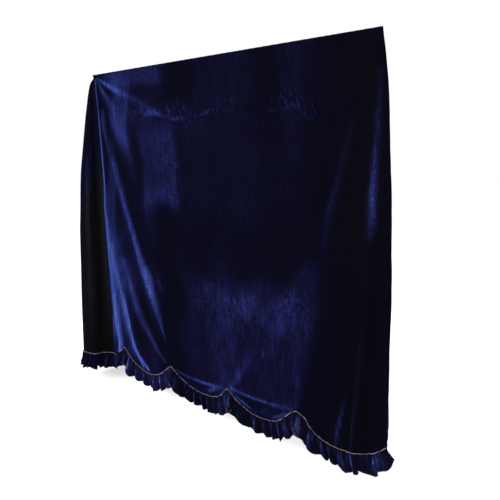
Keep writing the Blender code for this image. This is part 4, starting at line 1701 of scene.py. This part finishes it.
        # Painted highlight: lighter where a fold's flank faces LIT_FROM, as if lit
        facing = (cloth.normals() * LIT_FROM).sum(-1)
        flank = ease((facing - 0.46) / 0.40) ** 1.2
        bright = bright * (1 - 0.6 * ease((across - 0.80) / 0.12) * (not self.crossing[1]))
        middle = bell(down - 0.50, 0.36)
        level = self.pale + self.brushed * bright * flank * middle + 0.12 * flank * bright
        return {"pile_and_light": np.clip(level, 0.02, 1.0), "crush_and_sheen": 0.4 * flank}

    def build(self, finishes: Finishes, rests_on: str) -> None:
        """Makes the strip and its overlock, and fixes both to the frame.

        Args:
            finishes: The shared materials.
            rests_on: The name of the cord that it hangs from; not used.
        """
        cloth = self.cloth()
        sides = [finishes.ruffle_velvet, finishes.backing]
        piece = cloth.build(f"{self.name}_cloth", sides, self.pile_and_light(cloth), RUFFLE_CLOTH)
        finish_piece(piece, (self.name,))
        LOG.info("%s: %d by %d quads", self.name, cloth.points.shape[1] - 1, self.rows)
        edge = Overlock(seed=self.seed).build(f"{self.name}_overlock", [cloth.points[-1]], finishes.copper)
        finish_piece(edge)


@dataclass
class Piping:
    """The corded seam between a panel and its ruffle."""

    name: str
    line: HemLine
    ends: tuple[float, float]

    def build(self, finishes: Finishes) -> Piece:
        """Makes the cord and fixes it to the frame.

        Args:
            finishes: The shared materials.

        Returns:
            The cord.
        """
        shares = np.linspace(*self.ends, 900)
        points = self.line.at(shares)
        cord = TwistedCord().build(f"{self.name}_cord", [points], finishes.copper)
        return finish_piece(cord, (self.name,))


@dataclass
class Cover:
    """The whole cover, built from the top down."""

    finishes: Finishes
    front: FrontPanel = field(default_factory=FrontPanel)
    left: SidePanel = field(default_factory=lambda: SidePanel(Side.LEFT, 96, 150, (0.70, 1.484), 0.73))
    right: SidePanel = field(default_factory=lambda: SidePanel(Side.RIGHT, 48, 130, (0.30, 1.484), 0.42))
    top: TopPanel = field(default_factory=TopPanel)
    peak_clearance: float = -0.004
    side_ends: tuple[float, float] = (0.0, 1.0)
    front_ends: tuple[float, float] = (0.002, 0.998)

    def front_ruffles(self, line: HemLine) -> None:
        """Hangs a strip below each swag of the front.

        Args:
            line: The hem's line.
        """
        peaks = np.array(PEAKS)
        shares = [0.0, *peaks[1:, 2]]
        inset = self.peak_clearance / (peaks[-1, 0] - LEFT_HEM_X)
        last = len(shares) - 2
        for index, (start, end) in enumerate(zip(shares, shares[1:])):
            turns = (FORWARD, FORWARD if index < last else RIGHT_CORNER)
            strip = Ruffle(
                f"ruffle_front_{index + 1}",
                line,
                (start + inset * (index > 0), end - inset * (index < last)),
                (index > 0, index < last),
                turns,
                seed=60 + index,
                brushed=SWAG_HIGHLIGHT[index],
                pale=SWAG_PALE[index],
                spread=0.012 if index == last else 0.0,
                lifted=0.034 if index == last else 0.0,
                pitch=0.046 + 0.003 * index,
                overlap=0.011 if index == 0 else 0.0,
            )
            strip.build(self.finishes, "piping_front_cord")

    def build(self) -> None:
        """Makes every piece in order."""
        top, top_lines = self.top.build(self.finishes)
        front = self.front.build(self.finishes)
        front_line = HemLine(lambda share: front_shape(share, np.ones_like(share)))
        cord = Piping("piping_front", front_line, self.front_ends).build(self.finishes)
        self.front_ruffles(front_line)
        turns = {Side.LEFT: (FORWARD, LEFTWARD), Side.RIGHT: (RIGHT_CORNER, RIGHTWARD)}
        for panel in (self.left, self.right):
            piece, lines = panel.build(self.finishes)
            line = HemLine(lambda share, side=panel.side: side_shape(side, share, np.ones_like(share)))
            cord = Piping(f"piping_{panel.title}", line, self.side_ends).build(self.finishes)
            title = f"side_hem_{panel.title}_stitches"
            sewn = Stitches(seed=3).build(title, lines, self.finishes.navy_thread)
            finish_piece(sewn)
            strip = Ruffle(
                f"ruffle_{panel.title}",
                line,
                self.side_ends,
                (False, False),
                turns[panel.side],
                seed=80 + panel.side.value,
                brushed=0.2,
                pale=0.04,
            )
            if panel.side is Side.RIGHT:
                strip.wave_foot, strip.flare, strip.tied, strip.overlap = 0.007, -0.010, 0.9, 0.0
            else:
                strip.flare, strip.pitch, strip.tied, strip.spread = 0.019, 0.050, 0.95, 0.006
            strip.build(self.finishes, f"piping_{panel.title}_cord")
        sewn = Stitches(seed=5).build("top_stitches", top_lines, self.finishes.navy_thread)
        finish_piece(sewn)


def corners(box: tuple[Vector, Vector]) -> list[list[float]]:
    """A box's two corners as plain lists of numbers."""
    return [[round(float(value), 6) for value in corner] for corner in box]


def main() -> None:
    """Builds the studio and the cover."""
    logging.basicConfig(level=logging.INFO, format="%(message)s")
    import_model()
    Studio().build()
    Cover(Finishes()).build()


if __name__ == "__main__":
    main()
